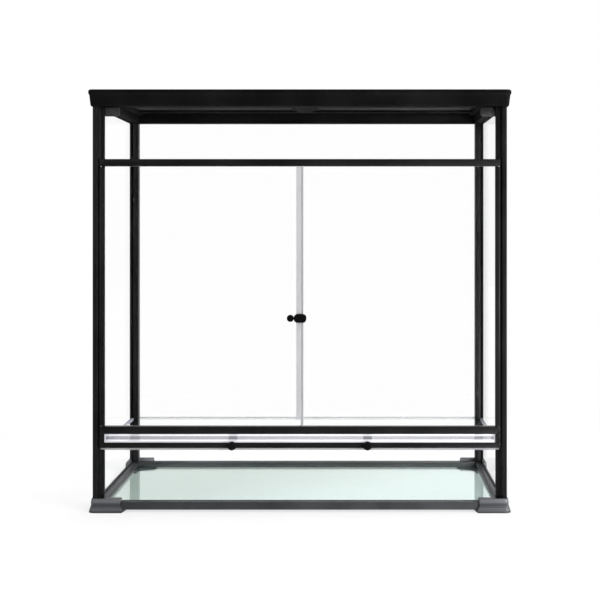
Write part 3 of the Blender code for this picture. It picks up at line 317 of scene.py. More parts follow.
@dataclass(frozen=True)
class SatinPlastic:
    """Moulded or extruded plastic with a fine grain and faint die lines along its run; its edges
    are paler, partly from wear and partly as a painted highlight, and optional colour stops over
    its height paint the highlights and shade of ribs.
    """

    name: str
    colour: Colour
    roughness: float = 0.40
    specular: float = 0.11
    run: Axis = Axis.NONE
    grain_size: float = 0.0008
    grain_height: float = 0.00002
    line_density: float = 420.0
    cloud_density: float = 9.0
    smear_density: float = 2.3
    drift: float = 0.22
    dust: float = 0.05
    dust_colour: Colour = (0.32, 0.31, 0.30)
    # Share of paler eased edges: partly wear, partly a painted edge highlight.
    wear: float = 0.35
    # Painted highlights and shade of ribs: colour stops from the bottom to the top of the part.
    bands: tuple[tuple[float, Colour], ...] = ()
    band_height: float = 0.030
    band_share: float = 0.8

    def build(self) -> Material:
        """Write the material.

        Returns:
            The finished material.
        """
        graph = MaterialGraph(self.name)
        place = graph.place
        grain = graph.noise(place, 1.0 / self.grain_size, 3.0, 0.6)
        cloud = graph.noise(place, self.cloud_density, 4.0, 0.55)
        lines = graph.noise(graph.scaled(place, self.run.stretch(0.02)), self.line_density)
        smear = graph.noise(place, self.smear_density, 5.0, 0.65)
        dark = tuple(part * (1.0 - self.drift) for part in self.colour)
        pale = tuple(part * (1.0 + self.drift) + 0.002 for part in self.colour)
        colour = graph.colour_mix(cloud.ramp(0.3, 0.7), dark, pale)
        # Painted rib shading: colour stops over the height paint lit rib faces and shaded grooves.
        if self.bands:
            share = graph.split(place)[2] / self.band_height + (cloud - 0.5) * 0.04
            painted_rib_colour = graph.out("ShaderNodeValToRGB", {"stops": self.bands}, {0: share})
            colour = graph.colour_mix(self.band_share, colour, painted_rib_colour)
        up = graph.split(graph.facing)[2]
        film = up.ramp(0.5, 1.0) * cloud.ramp(0.45, 0.75) * self.dust
        colour = graph.colour_mix(film, colour, self.dust_colour)
        # Paler edges, partly wear and partly a painted highlight on the eased edges.
        worn_and_highlit_edges = graph.edges() * smear.ramp(0.35, 0.7) * self.wear
        rubbed = tuple(part * 2.2 + 0.012 for part in self.colour)
        rough = smear.ramp(0.25, 0.75, self.roughness - 0.06, self.roughness + 0.07)
        line_share = 0.05 if self.run is Axis.NONE else 0.5
        shader = graph.principled(
            Base_Color=graph.colour_mix(worn_and_highlit_edges, colour, rubbed),
            Roughness=rough + grain * 0.03 - worn_and_highlit_edges * 0.12,
            Specular_IOR_Level=self.specular,
            Normal=graph.bump(grain * 0.7 + lines * line_share, self.grain_height),
        )
        return graph.close(shader)


@dataclass(frozen=True)
class FloatGlass:
    """Clear float glass whose cut edges look green."""

    name: str
    face: Axis
    tint: Colour = (0.999, 1.0, 0.9995)
    # A paler tint painted towards the front right as a sheen, in place of a reflection.
    pale_tint: Colour | None = None
    edge: Colour = (0.30, 0.62, 0.52)
    edge_roughness: float = 0.18
    smear_density: float = 11.0
    smudge: float = 0.012
    bend: float = 1.12

    def build(self) -> Material:
        """Write the material.

        Returns:
            The finished material.
        """
        graph = MaterialGraph(self.name)
        across = graph.split(graph.facing)["XYZ".index(self.face.name)]
        rim = 1.0 - abs(across).ramp(0.3, 0.7)
        upright = graph.scaled(graph.place, (1.0, 1.0, 0.35))
        smears = graph.noise(upright, self.smear_density, 5.0, 0.7)
        shader = graph.principled(
            Base_Color=graph.colour_mix(rim, self._sweep(graph), self.edge),
            Roughness=smears.ramp(0.5, 0.8, 0.0, self.smudge) + rim * self.edge_roughness,
            IOR=self.bend,
            Transmission_Weight=1.0,
        )
        lamps = graph.out("ShaderNodeBsdfTransparent", None, {"Color": self.tint})
        shadow = graph.out("ShaderNodeLightPath", None, {}, "Is Shadow Ray")
        links = {0: shadow, 1: shader.outputs[0], 2: lamps}
        return graph.close(graph.add("ShaderNodeMixShader", None, links))

    def _sweep(self, graph: MaterialGraph) -> Any:
        """The tint, with a painted sheen that makes it paler towards the front and the right where
        a sheen tint is given.

        Args:
            graph: The material's tree.

        Returns:
            A plain colour or a colour socket.
        """
        if self.pale_tint is None:
            return self.tint
        # Painted sheen: the pale tint rises towards the front right in place of a reflection of the
        # surroundings.
        x, y, _ = graph.split(graph.place)
        cloud = graph.noise(graph.place, 3.0)
        share = (x * 1.1 - y * 1.6 + (cloud - 0.5) * 0.5).ramp(-0.35, 0.45)
        return graph.colour_mix(share, self.tint, self.pale_tint)


@dataclass(frozen=True)
class ClearPlastic:
    """Slightly milky extruded plastic, such as a seal or a joint strip with a denser lip."""

    name: str
    colour: Colour
    alpha: float
    run: Axis
    roughness: float = 0.22
    coat: float = 0.2
    line_density: float = 900.0
    line_height: float = 0.000012
    cloud_density: float = 14.0
    lip_level: float = 0.0
    lip_alpha: float = 0.0
    lip_blend: float = 0.0004

    def build(self) -> Material:
        """Write the material.

        Returns:
            The finished material.
        """
        graph = MaterialGraph(self.name)
        lines = graph.noise(graph.scaled(graph.place, self.run.stretch(0.0012)), self.line_density)
        cloud = graph.noise(graph.place, self.cloud_density, 3.0)
        pale = tuple(min(1.0, part * 1.08) for part in self.colour)
        alpha: Number = self.alpha
        if self.lip_alpha:
            lip = (self.lip_level - self.lip_blend, self.lip_level + self.lip_blend)
            alpha = graph.split(graph.place)[2].ramp(*lip, self.alpha, self.lip_alpha)
        shader = graph.principled(
            Base_Color=graph.colour_mix(cloud.ramp(0.3, 0.7), self.colour, pale),
            Roughness=lines.ramp(0.3, 0.7, self.roughness - 0.03, self.roughness + 0.04),
            Alpha=alpha,
            Coat_Weight=self.coat,
            Normal=graph.bump(lines, self.line_height),
        )
        return graph.close(shader)


@dataclass(frozen=True)
class DrawnSteel:
    """Plain steel rod or fastener with fine drawing lines."""

    name: str
    colour: Colour
    run: Axis
    roughness: float = 0.34
    line_density: float = 2600.0
    line_height: float = 0.00003
    stain_density: float = 60.0

    def build(self) -> Material:
        """Write the material.

        Returns:
            The finished material.
        """
        graph = MaterialGraph(self.name)
        lines = graph.noise(graph.scaled(graph.place, self.run.stretch(0.01)), self.line_density)
        stain = graph.noise(graph.place, self.stain_density, 4.0, 0.6)
        dull = tuple(part * 0.72 for part in self.colour)
        shader = graph.principled(
            Base_Color=graph.colour_mix(stain.ramp(0.4, 0.7), self.colour, dull),
            Metallic=1.0,
            Roughness=lines.ramp(0.25, 0.75, self.roughness - 0.08, self.roughness + 0.1),
            Normal=graph.bump(lines, self.line_height),
        )
        return graph.close(shader)


@dataclass(frozen=True)
class CoatedWire:
    """Black coated wire that is rubbed a little paler in scattered speckled patches."""

    name: str
    colour: Colour = (0.025, 0.025, 0.026)
    roughness: float = 0.62
    specular: float = 0.15
    speckle_density: float = 700.0
    speckle_height: float = 0.00003
    patch_density: float = 12.0

    def build(self) -> Material:
        """Write the material.

        Returns:
            The finished material.
        """
        graph = MaterialGraph(self.name)
        speckle = graph.noise(graph.place, self.speckle_density)
        patch = graph.noise(graph.place, self.patch_density, 4.0, 0.6)
        rubbed = tuple(part * 2.4 for part in self.colour)
        wear = speckle.ramp(0.5, 0.8) * patch.ramp(0.4, 0.7)
        shader = graph.principled(
            Base_Color=graph.colour_mix(wear, self.colour, rubbed),
            Roughness=patch.ramp(0.3, 0.7, self.roughness - 0.05, self.roughness + 0.1),
            Specular_IOR_Level=self.specular,
            Normal=graph.bump(speckle, self.speckle_height),
        )
        return graph.close(shader)


BLACK = (0.0042, 0.0042, 0.0047)
DEEP_BLACK = (0.0018, 0.0018, 0.0020)
RAIL_GREY = (0.030, 0.032, 0.034)
FOOT_GREY = (0.052, 0.054, 0.060)
# Painted highlights and shade of the foot's ribs, by height from 0 at the bottom to 1 at the top:
# pale stops where rib faces catch the light, dark stops in the grooves.
FOOT_PAINTED_RIB_SHADING = (
    (0.00, (0.008, 0.008, 0.009)),
    (0.10, (0.011, 0.011, 0.013)),
    (0.17, (0.062, 0.065, 0.073)),
    (0.36, (0.050, 0.053, 0.060)),
    (0.44, (0.018, 0.019, 0.021)),
    (0.64, (0.024, 0.025, 0.028)),
    (0.76, (0.082, 0.085, 0.094)),
    (0.92, (0.090, 0.093, 0.102)),
    (1.00, (0.046, 0.048, 0.052)),
)
SEA_GREEN = (0.70, 0.82, 0.77)
# Painted sheen colour of the floor pane.
PAINTED_SHEEN_GREEN = (0.79, 0.93, 0.91)
STEEL = (0.52, 0.52, 0.53)
LIP = {"lip_level": 0.1318, "lip_alpha": 0.37}


class Finish(Enum):
    """Every finish of the terrarium."""

    UPRIGHT = SatinPlastic("black_profile_upright", BLACK, run=Axis.Z)
    CROSSWISE = SatinPlastic("black_profile_crosswise", BLACK, run=Axis.X)
    MOULDED = SatinPlastic("black_moulding", DEEP_BLACK, 0.74, 0.03, grain_height=0.00004)
    RAIL_WIDE = SatinPlastic("rail_profile_wide", RAIL_GREY, 0.38, run=Axis.X)
    RAIL_DEEP = SatinPlastic("rail_profile_deep", RAIL_GREY, 0.38, run=Axis.Y)
    # The feet carry painted rib highlights and shade.
    FOOT = SatinPlastic("grey_foot_moulding", FOOT_GREY, 0.40, 0.4, bands=FOOT_PAINTED_RIB_SHADING)
    GUSSET = SatinPlastic("dark_gusset_moulding", (0.018, 0.018, 0.019), 0.42)
    PANE_FRONT = FloatGlass("float_glass_wide", Axis.Y)
    PANE_SIDE = FloatGlass("float_glass_deep", Axis.X, bend=1.02)
    # The floor pane takes a painted sheen, paler towards the front right.
    PANE_FLOOR = FloatGlass("float_glass_floor", Axis.Z, SEA_GREEN, PAINTED_SHEEN_GREEN, bend=1.5)
    SEAL_WIDE = ClearPlastic("clear_seal_wide", (0.34, 0.34, 0.355), 0.92, Axis.Z)
    SEAL_NARROW = ClearPlastic("clear_seal_narrow", (0.25, 0.25, 0.262), 0.92, Axis.Z)
    STRIP_WIDE = ClearPlastic("clear_strip_wide", (0.31, 0.31, 0.325), 0.08, Axis.X, **LIP)
    STRIP_DEEP = ClearPlastic("clear_strip_deep", (0.46, 0.45, 0.53), 0.90, Axis.Y)
    VENT = ClearPlastic("clear_vent_strip", (0.84, 0.83, 0.90), 0.45, Axis.X)
    VENT_BAR = ClearPlastic("clear_vent_bars", (0.24, 0.24, 0.27), 0.84, Axis.Z)
    GASKET = ClearPlastic("clear_pane_gasket", (0.30, 0.30, 0.32), 0.62, Axis.X)
    ROD_UPRIGHT = DrawnSteel("steel_rod_upright", STEEL, Axis.Z)
    ROD_WIDE = DrawnSteel("steel_rod_wide", STEEL, Axis.X)
    SCREW = DrawnSteel("blackened_screw", (0.10, 0.10, 0.105), Axis.NONE, 0.42)
    WIRE = CoatedWire("coated_mesh_wire")


class Workshop:
    """Makes finished pieces from meshes and hangs them on the frame."""

    weld: float = 0.00001
    flat_within: float = math.radians(0.5)
    sharp_from: float = math.radians(32.0)

    def __init__(self, nodes: Mapping[str, bpy.types.Object]) -> None:
        """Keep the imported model's nodes by name and build every finish."""
        self.nodes = nodes
        self.materials = {finish: finish.value.build() for finish in Finish}

    def piece(
        self,
        name: str,
        mesh: Mesh,
        finish: Finish,
        body: str,
        slot: str,
        stands_for: Iterable[str] = (),
    ) -> bpy.types.Object:
        """Hang one finished mesh on a body.

        Args:
            name: The piece's name.
            mesh: Its mesh, in place.
            finish: Its finish.
            body: The body it moves with.
            slot: The name of a material slot; not used.
            stands_for: Nodes that it replaces.

        Returns:
            The piece.
        """
        mesh.name = name
        mesh.materials.clear()
        mesh.materials.append(self.materials[finish])
        made = bpy.data.objects.new(name, mesh)
        bpy.context.scene.collection.objects.link(made)
        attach(made, body)
        if stands_for:
            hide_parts(*stands_for)
        LOG.info("%s: %d faces on %s", name, len(mesh.polygons), body)
        return made

    def dress(self, finish: Finish, *names: str) -> None:
        """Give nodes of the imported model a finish.

        Args:
            finish: The finish.
            names: The nodes' names.
        """
        for name in names:
            materials = self.nodes[name].data.materials
            materials.clear()
            materials.append(self.materials[finish])
            LOG.info("%s dressed in %s", name, finish.value.name)

    def eased(self, finish: Finish, slot: str, width: float, *names: str) -> None:
        """Stand copies of nodes with eased edges in their place.

        Args:
            finish: The copies' finish.
            slot: Their material slot.
            width: How far each sharp edge is eased.
            names: The nodes to copy.
        """
        for name in names:
            node = self.nodes[name]
            shape = bmesh.new()
            shape.from_mesh(node.data)
            bmesh.ops.remove_doubles(shape, verts=shape.verts, dist=self.weld)
            flat = {"verts": shape.verts, "edges": shape.edges, "angle_limit": self.flat_within}
            bmesh.ops.dissolve_limit(shape, **flat)
            mesh = bpy.data.meshes.new(name + "_eased")
            shape.to_mesh(mesh)
            shape.free()
            piece = self.piece(name + "_eased", mesh, finish, node["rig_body"], slot, (name,))
            mesh.shade_smooth()
            bevel = piece.modifiers.new("eased edges", "BEVEL")
            bevel.width = width
            bevel.segments = 2
            bevel.limit_method = "ANGLE"
            bevel.angle_limit = self.sharp_from
            bevel.harden_normals = True


def add_skin(shape: bmesh.types.BMesh, rings: Rings, endless: bool) -> None:
    """Add a skin through rings of points.

    Args:
        shape: The bmesh that takes the skin.
        rings: Rings of as many points each.
        endless: The last ring meets the first; otherwise the end rings are faces.
    """
    loops = [[shape.verts.new(point) for point in ring] for ring in rings]
    if not endless:
        shape.faces.new(loops[0])
        shape.faces.new(loops[-1])
    following = loops[1:] + loops[:1] if endless else loops[1:]
    for lower, upper in zip(loops, following):
        for index, corner in enumerate(lower):
            beside = (index + 1) % len(lower)
            shape.faces.new((corner, lower[beside], upper[beside], upper[index]))


def skinned(name: str, *skins: Rings, endless: bool = False, angle: float = 35.0) -> Mesh:
    """Make a mesh of closed skins, with outward faces and smooth rounds.

    Args:
        name: The mesh's name.
        skins: The rings of each skin.
        endless: Each skin's last ring meets its first.
        angle: Edges sharper than this, in degrees, stay sharp.

    Returns:
        The mesh.
    """
    shape = bmesh.new()
    for rings in skins:
        add_skin(shape, rings, endless)
    bmesh.ops.recalc_face_normals(shape, faces=shape.faces)
    mesh = bpy.data.meshes.new(name)
    shape.to_mesh(mesh)
    shape.free()
    mesh.shade_smooth()
    mesh.set_sharp_from_angle(angle=math.radians(angle))
    return mesh


def turned(steps: Iterable[Pair], centre: Pair, sides: int) -> Rings:
    """Rings of a shape turned about an axis along Y.

    Args:
        steps: Places along the axis with their radii.
        centre: The axis's x and z.
        sides: How many points go round.

    Returns:
        One ring for each step.
    """
    rings = []
    for depth, radius in steps:
        ring = []
        for step in range(sides):
            angle = 2 * math.pi * step / sides
            x, z = radius * math.cos(angle), radius * math.sin(angle)
            ring.append((centre[0] + x, depth, centre[1] + z))
        rings.append(ring)
    return rings


SOCKETS = {int: "NodeSocketInt", float: "NodeSocketFloat", tuple: "NodeSocketVector"}


class GeometryGraph(Graph):
    """A Geometry Nodes tree with named inputs, turned into plain meshes."""

    def __init__(self, name: str, sizes: Mapping[str, Any]) -> None:
        """Make a tree with one named input for each size.

        Args:
            name: The tree's name.
            sizes: Whole numbers, numbers and vectors by name.
        """
        tree = bpy.data.node_groups.new(name, "GeometryNodeTree")
        tree.interface.new_socket("Geometry", in_out="OUTPUT", socket_type="NodeSocketGeometry")
        for size, value in sizes.items():
            tree.interface.new_socket(size, in_out="INPUT", socket_type=SOCKETS[type(value)])
        super().__init__(tree)
        outputs = self.add("NodeGroupInput").outputs
        self.sizes = [Value(self, outputs[size]) for size in sizes]

    def vector(self, x: Any = 0.0, y: Any = 0.0, z: Any = 0.0) -> Socket:
        """A vector of three numbers."""
        return self.out("ShaderNodeCombineXYZ", None, {"X": x, "Y": y, "Z": z})

    def block(self, *size: Any) -> Socket:
        """A block of three sizes, about the origin."""
        return self.out("GeometryNodeMeshCube", None, {"Size": self.vector(*size)})

    def row(self, count: Value, step: Socket, start: Any = (0.0, 0.0, 0.0)) -> Socket:
        """Points in a row, from a start by equal steps."""
        inputs = {"Count": count, "Start Location": start, "Offset": step}
        return self.out("GeometryNodeMeshLine", {"mode": "OFFSET"}, inputs)

    def moved(self, shape: Socket, shift: Any) -> Socket:
        """A shape moved by a vector."""
        inputs = {"Geometry": shape, "Translation": shift}
        return self.out("GeometryNodeTransform", None, inputs)

    def repeated(self, points: Socket, shape: Socket) -> Socket:
        """A shape set on every point."""
        inputs = {"Points": points, "Instance": shape}
        return self.out("GeometryNodeInstanceOnPoints", None, inputs)

    def close(self, geometry: Socket, material: Material) -> GeometryGraph:
        """End the tree in real geometry with its material.

        Args:
            geometry: What the tree makes.
            material: Its material.

        Returns:
            This tree.
        """
        real = self.out("GeometryNodeRealizeInstances", None, {0: geometry})
        shading = {"Geometry": real, "Shade Smooth": False}
        flat = self.out("GeometryNodeSetShadeSmooth", None, shading)
        dressing = {"Geometry": flat, "Material": material}
        self.add("NodeGroupOutput", None, {0: self.out("GeometryNodeSetMaterial", None, dressing)})
        return self

    def mesh(self, name: str, sizes: Mapping[str, Any]) -> Mesh:
        """Run the tree once and keep its result as a plain mesh.

        Args:
            name: The mesh's name.
            sizes: Values of the named inputs.

        Returns:
            The result.
        """
        carrier = bpy.data.objects.new(name, bpy.data.meshes.new(name))
        bpy.context.scene.collection.objects.link(carrier)
        modifier = carrier.modifiers.new(name, "NODES")
        modifier.node_group = self.tree
        for item in self.tree.interface.items_tree:
            if item.in_out == "INPUT":
                modifier[item.identifier] = sizes[item.name]
        bpy.context.view_layer.update()
        evaluated = carrier.evaluated_get(bpy.context.evaluated_depsgraph_get())
        mesh = bpy.data.meshes.new_from_object(evaluated)
        carrier.modifiers.clear()
        bpy.data.objects.remove(carrier)
        return mesh


@dataclass
class Posts:
    """The four corner posts."""

    shop: Workshop
    ease: float = 0.0004

    def build(self) -> None:
        """Ease the posts' edges and dress them."""
        posts = [f"post_{end}_{side.word}" for end in ("front", "rear") for side in Side]
        self.shop.eased(Finish.UPRIGHT, "black_profile", self.ease, *posts)


@dataclass
class FrontBars:
    """Crossbar and vent bars with the end blocks of the vent."""

    shop: Workshop
    ease: float = 0.0004

    def build(self) -> None:
        """Ease the bars and dress them."""
        bars = ("crossbar", "vent_upper_bar", "vent_lower_bar", "vent_end_left", "vent_end_right")
        self.shop.eased(Finish.CROSSWISE, "black_profile", self.ease, *bars)


@dataclass
class VentStrip:
    """The clear strip between the vent bars, with fine upright slots."""

    shop: Workshop
    slot_height: float = 0.0070
    slot_level: float = 0.0097
    border: float = 0.0035
    ease: float = 0.0004
    bar_width: float = 0.0015
    bar_share: float = 0.7
    bar_overlap: float = 0.001
    pitch: float = 0.0021

    def build(self) -> None:
        """Build the slotted strip and stand it in place of the coarse one."""
        low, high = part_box("vent_strip")
        start, end = low.x + self.border, high.x - self.border
        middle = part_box("vent_end_left")[0].z + self.slot_level
        half = self.slot_height / 2
        count = int((end - start) / self.pitch) + 1
        sizes = {
            "Start": start,
            "Pitch": (end - start) / (count - 1),
            "Count": count,
            "Bar Width": self.bar_width,
            "Bar Depth": (high.y - low.y) * self.bar_share,
            "Bar Height": self.slot_height + self.bar_overlap,
            "Middle Y": (low.y + high.y) / 2,
            "Middle Z": middle,
        }
        depths = (low.y, low.y + self.ease, high.y - self.ease, high.y)
        outer = self._rings((low.x, low.z), (high.x, high.z), depths, 1)
        inner = self._rings((start, middle - half), (end, middle + half), depths[::-1], -1)
        frame = skinned("vent_bands", outer + inner, endless=True)
        slot = "clear_plastic"
        self.shop.piece("vent_bands", frame, Finish.VENT, "cabinet", slot, ("vent_strip",))
        bars = self._tree(sizes).mesh("vent_bars", sizes)
        self.shop.piece("vent_bars", bars, Finish.VENT_BAR, "cabinet", slot)

    def _rings(self, low: Pair, high: Pair, depths: Iterable[float], sign: int) -> Rings:
        """Rectangles one behind another, the first and the last with eased edges.

        Args:
            low: The lower left corner's x and z.
            high: The upper right corner's x and z.
            depths: Where the rectangles stand along Y.
            sign: 1 where easing makes the rectangle smaller, -1 where it widens it.

        Returns:
            One ring for each depth.
        """
        rings = []
        for y, inset in zip(depths, (self.ease, 0.0, 0.0, self.ease)):
            left, bottom = (edge + sign * inset for edge in low)
            right, top = (edge - sign * inset for edge in high)
            corners = ((left, bottom), (right, bottom), (right, top), (left, top))
            rings.append([(x, y, z) for x, z in corners])
        return rings

    def _tree(self, sizes: Mapping[str, Any]) -> GeometryGraph:
        """Write the tree that sets one small bar after another along the opening.

        Args:
            sizes: The tree's inputs.

        Returns:
            The finished tree.
        """
        graph = GeometryGraph("vent_bars", sizes)
        start, pitch, count, width, depth, height, y, z = graph.sizes
        places = graph.row(count, graph.vector(pitch), graph.vector(start, y, z))
        bars = graph.repeated(places, graph.block(width, depth, height))
        return graph.close(bars, self.shop.materials[Finish.VENT_BAR])


@dataclass
class Glazing:
    """Every pane, and the clear strips between the wall panes."""

    shop: Workshop
    gasket_height: float = 0.0062
    gasket_depth: float = 0.0024
    face_share: float = 0.45
    toe_depth_share: float = 0.35
    toe_height_share: float = 0.85
    clearance: float = 0.0002
    end_gap: float = 0.0025
    knob_to_bar: float = 0.0050

    def build(self) -> None:
        """Dress the panes and strips and lay the gasket over the lower pane."""
        dress = self.shop.dress
        self._lay_gasket()
        dress(Finish.PANE_FRONT, "door_glass_left", "door_glass_right")
        for wall in ("front", "back"):
            dress(Finish.PANE_FRONT, f"upper_{wall}_glass", f"lower_{wall}_glass")
        for side in Side:
            panes = (f"upper_side_glass_{side.word}", f"lower_side_glass_{side.word}")
            dress(Finish.PANE_SIDE, *panes)
            dress(Finish.STRIP_DEEP, "joint_strip_" + side.word)
        dress(Finish.SEAL_WIDE, "door_seal_left")
        dress(Finish.SEAL_NARROW, "door_seal_right")
        dress(Finish.PANE_FLOOR, "floor_glass")
        dress(Finish.STRIP_WIDE, "joint_strip_back")

    def _lay_gasket(self) -> None:
        """Lay a clear gasket in the corner of the lower pane and the bar above it."""
        bar_low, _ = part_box("vent_lower_bar")
        pane_low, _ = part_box("lower_front_glass")
        block_low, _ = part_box("vent_end_left")
        knob_low, knob_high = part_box("vent_knob_left")
        reach = -block_low.x - self.end_gap
        top = (knob_low.z + knob_high.z) / 2 - self.knob_to_bar - self.clearance
        back = pane_low.y - self.clearance
        front = max(back - self.gasket_depth, bar_low.y + self.clearance)
        toe = front + self.gasket_depth * self.toe_depth_share
        section = (
            (back, top),
            (front, top),
            (front, top - self.gasket_height * self.face_share),
            (toe, top - self.gasket_height * self.toe_height_share),
            (back, top - self.gasket_height),
        )
        name = "lower_pane_gasket"
        mesh = skinned(name, [[(x, y, z) for y, z in section] for x in (-reach, reach)])
        self.shop.piece(name, mesh, Finish.GASKET, "cabinet", "clear_plastic")


@dataclass
class Doors:
    """Hinge stiles, rods, pulls and the lock's turn button."""

    shop: Workshop
    stile_ease: float = 0.0003
    grip_depth: float = 0.0085
    grip_height: float = 0.0188
    grip_front: Pairs = ((0.0, 0.0022), (0.0004, 0.0010), (0.0011, 0.0003), (0.0021, 0.0))
    grip_ease: float = 0.0006
    end_round: float = 0.0080
    end_steps: int = 16
    seam_reach: float = 0.0002
    bolt_place: float = 0.0103
    bolt_radius: float = 0.0020
    bolt_sides: int = 20
    washer_radius: float = 0.0024
    washer_thickness: float = 0.0020
    button_radius: float = 0.0076
    button_depth: float = 0.0070
    button_front: Pairs = ((0.0, 0.0016), (0.0003, 0.0007), (0.0010, 0.0001), (0.0016, 0.0))
    button_sides: int = 40
    wing_rise: float = 0.0012
    wing_ease: float = 0.0004
    wing_root: float = 0.0005
    wing_half_length: float = 0.0058
    wing_half_width: float = 0.0011
    wing_sides: int = 20

    def build(self) -> None:
        """Dress the doors' parts and mould the pulls and the button."""
        for side in Side:
            stile = "hinge_stile_" + side.word
            self.shop.eased(Finish.UPRIGHT, "black_profile", self.stile_ease, stile)
            self.shop.dress(Finish.ROD_UPRIGHT, "hinge_rod_" + side.word)
            self._mould_pull(side)
        self._mould_button()

    def _mould(self, name: str, node: str, *skins: Rings) -> None:
        """Stand a moulding in the place of a node.

        Args:
            name: The moulding's name.
            node: The node's name.
            skins: The rings of each of its skins.
        """
        body = self.shop.nodes[node]["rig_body"]
        mesh = skinned(name, *skins)
        self.shop.piece(name, mesh, Finish.MOULDED, body, "black_profile", (node,))

    def _bolt(self, start: float, end: float) -> list[Pair]:
        """Steps of a bolt with its washer.

        Args:
            start: The depth at which the bolt starts.
            end: The depth at which the washer ends.

        Returns:
            Depths with their radii.
        """
        washer = end - self.washer_thickness
        return [
            (start, self.bolt_radius),
            (washer, self.bolt_radius),
            (washer, self.washer_radius),
            (end, self.washer_radius),
        ]

    def _mould_pull(self, side: Side) -> None:
        """Mould half of the pull: a full round end, soft front edges and a square seam.

        Args:
            side: The door that carries it.
        """
        node = "door_pull_" + side.word
        low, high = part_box(node)
        sign = side.value
        far, seam = (low.x, high.x) if side is Side.LEFT else (high.x, low.x)
        seam -= sign * self.seam_reach
        centre = far - sign * self.end_round
        middle = (low.z + high.z) / 2
        rise = self.grip_height / 2 - self.end_round
        back = ((self.grip_depth - self.grip_ease, 0.0), (self.grip_depth, self.grip_ease))
        half = self.end_steps / 2
        rings = []
        for depth, inset in self.grip_front + back:
            y = low.y + depth
            radius = self.end_round - inset
            ring = [(seam, y, middle + rise + radius)]
            for step in range(self.end_steps + 1):
                angle = math.pi * (0.5 - step / self.end_steps)
                lift = rise if step < half else -rise if step > half else 0.0
                x = centre + sign * radius * math.cos(angle)
                ring.append((x, y, middle + lift + radius * math.sin(angle)))
            ring.append((seam, y, middle - rise - radius))
            rings.append(ring)
        steps = self._bolt(low.y + self.grip_depth / 2, high.y)
        bolt = turned(steps, (sign * self.bolt_place, middle), self.bolt_sides)
        self._mould(node + "_grip", node, rings, bolt)

    def _mould_button(self) -> None:
        """Mould the lock's turn button with its wing and its spindle."""
        low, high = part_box("lock_turn")
        place = ((low.x + high.x) / 2, (low.z + high.z) / 2)
        face = low.y + self.wing_rise
        back = face + self.button_depth
        rim = self.button_radius
        steps = [(face + depth, rim - inset) for depth, inset in self.button_front]
        steps += [(back, rim), *self._bolt(back, high.y)]
        reach = self.wing_half_length - self.wing_half_width
        layers = (
            (low.y, self.wing_ease),
            (low.y + self.wing_ease, 0.0),
            (face + self.wing_root, 0.0),
        )
        wing = []
        for depth, inset in layers:
            half = self.wing_half_width - inset
            ring = []
            for step in range(self.wing_sides):
                angle = 2 * math.pi * (step + 0.5) / self.wing_sides
                rise = reach if math.sin(angle) > 0 else -reach
                x = place[0] + half * math.cos(angle)
                ring.append((x, depth, place[1] + rise + half * math.sin(angle)))
            wing.append(ring)
        disc = turned(steps, place, self.button_sides)
        self._mould("lock_button", "lock_turn", disc, wing)


@dataclass
class VentKnobs:
    """Turn knobs on the lower bar and the tabs behind the strip."""

    shop: Workshop
    ease: float = 0.0004

    def build(self) -> None:
        """Dress knobs and tabs."""
        for side in Side:
            knob = "vent_knob_" + side.word
            self.shop.eased(Finish.MOULDED, "black_profile", self.ease, knob)
            self.shop.dress(Finish.MOULDED, "vent_tab_" + side.word)


@dataclass
class Base:
    """Bottom rails, corner feet and the gussets under the top frame."""

    shop: Workshop
    rail_ease: float = 0.0004
    foot_ease: float = 0.0005

    def build(self) -> None:
        """Ease and dress the base's parts."""
        eased = self.shop.eased
        for finish, sides in (
            (Finish.RAIL_WIDE, ("front", "back")),
            (Finish.RAIL_DEEP, ("left", "right")),
        ):
            rails = ["bottom_rail_" + side for side in sides]
            eased(finish, "rail_grey", self.rail_ease, *rails)
        for side in Side:
            feet = [f"corner_foot_{end}_{side.word}" for end in ("front", "rear")]
            eased(Finish.FOOT, "foot_grey", self.foot_ease, *feet)
            eased(Finish.GUSSET, "foot_grey", self.foot_ease, "corner_gusset_" + side.word)


@dataclass
class TopFrame:
    """The moulded top frame and the slides in its rear deck."""

    shop: Workshop
    frame_ease: float = 0.0005
    slide_ease: float = 0.0003

    def build(self) -> None:
        """Ease and dress the moulding and the slides."""
        slides = ["cable_slide_" + side.word for side in Side]
        self.shop.eased(Finish.MOULDED, "black_profile", self.frame_ease, "top_frame")
        self.shop.eased(Finish.MOULDED, "black_profile", self.slide_ease, *slides)


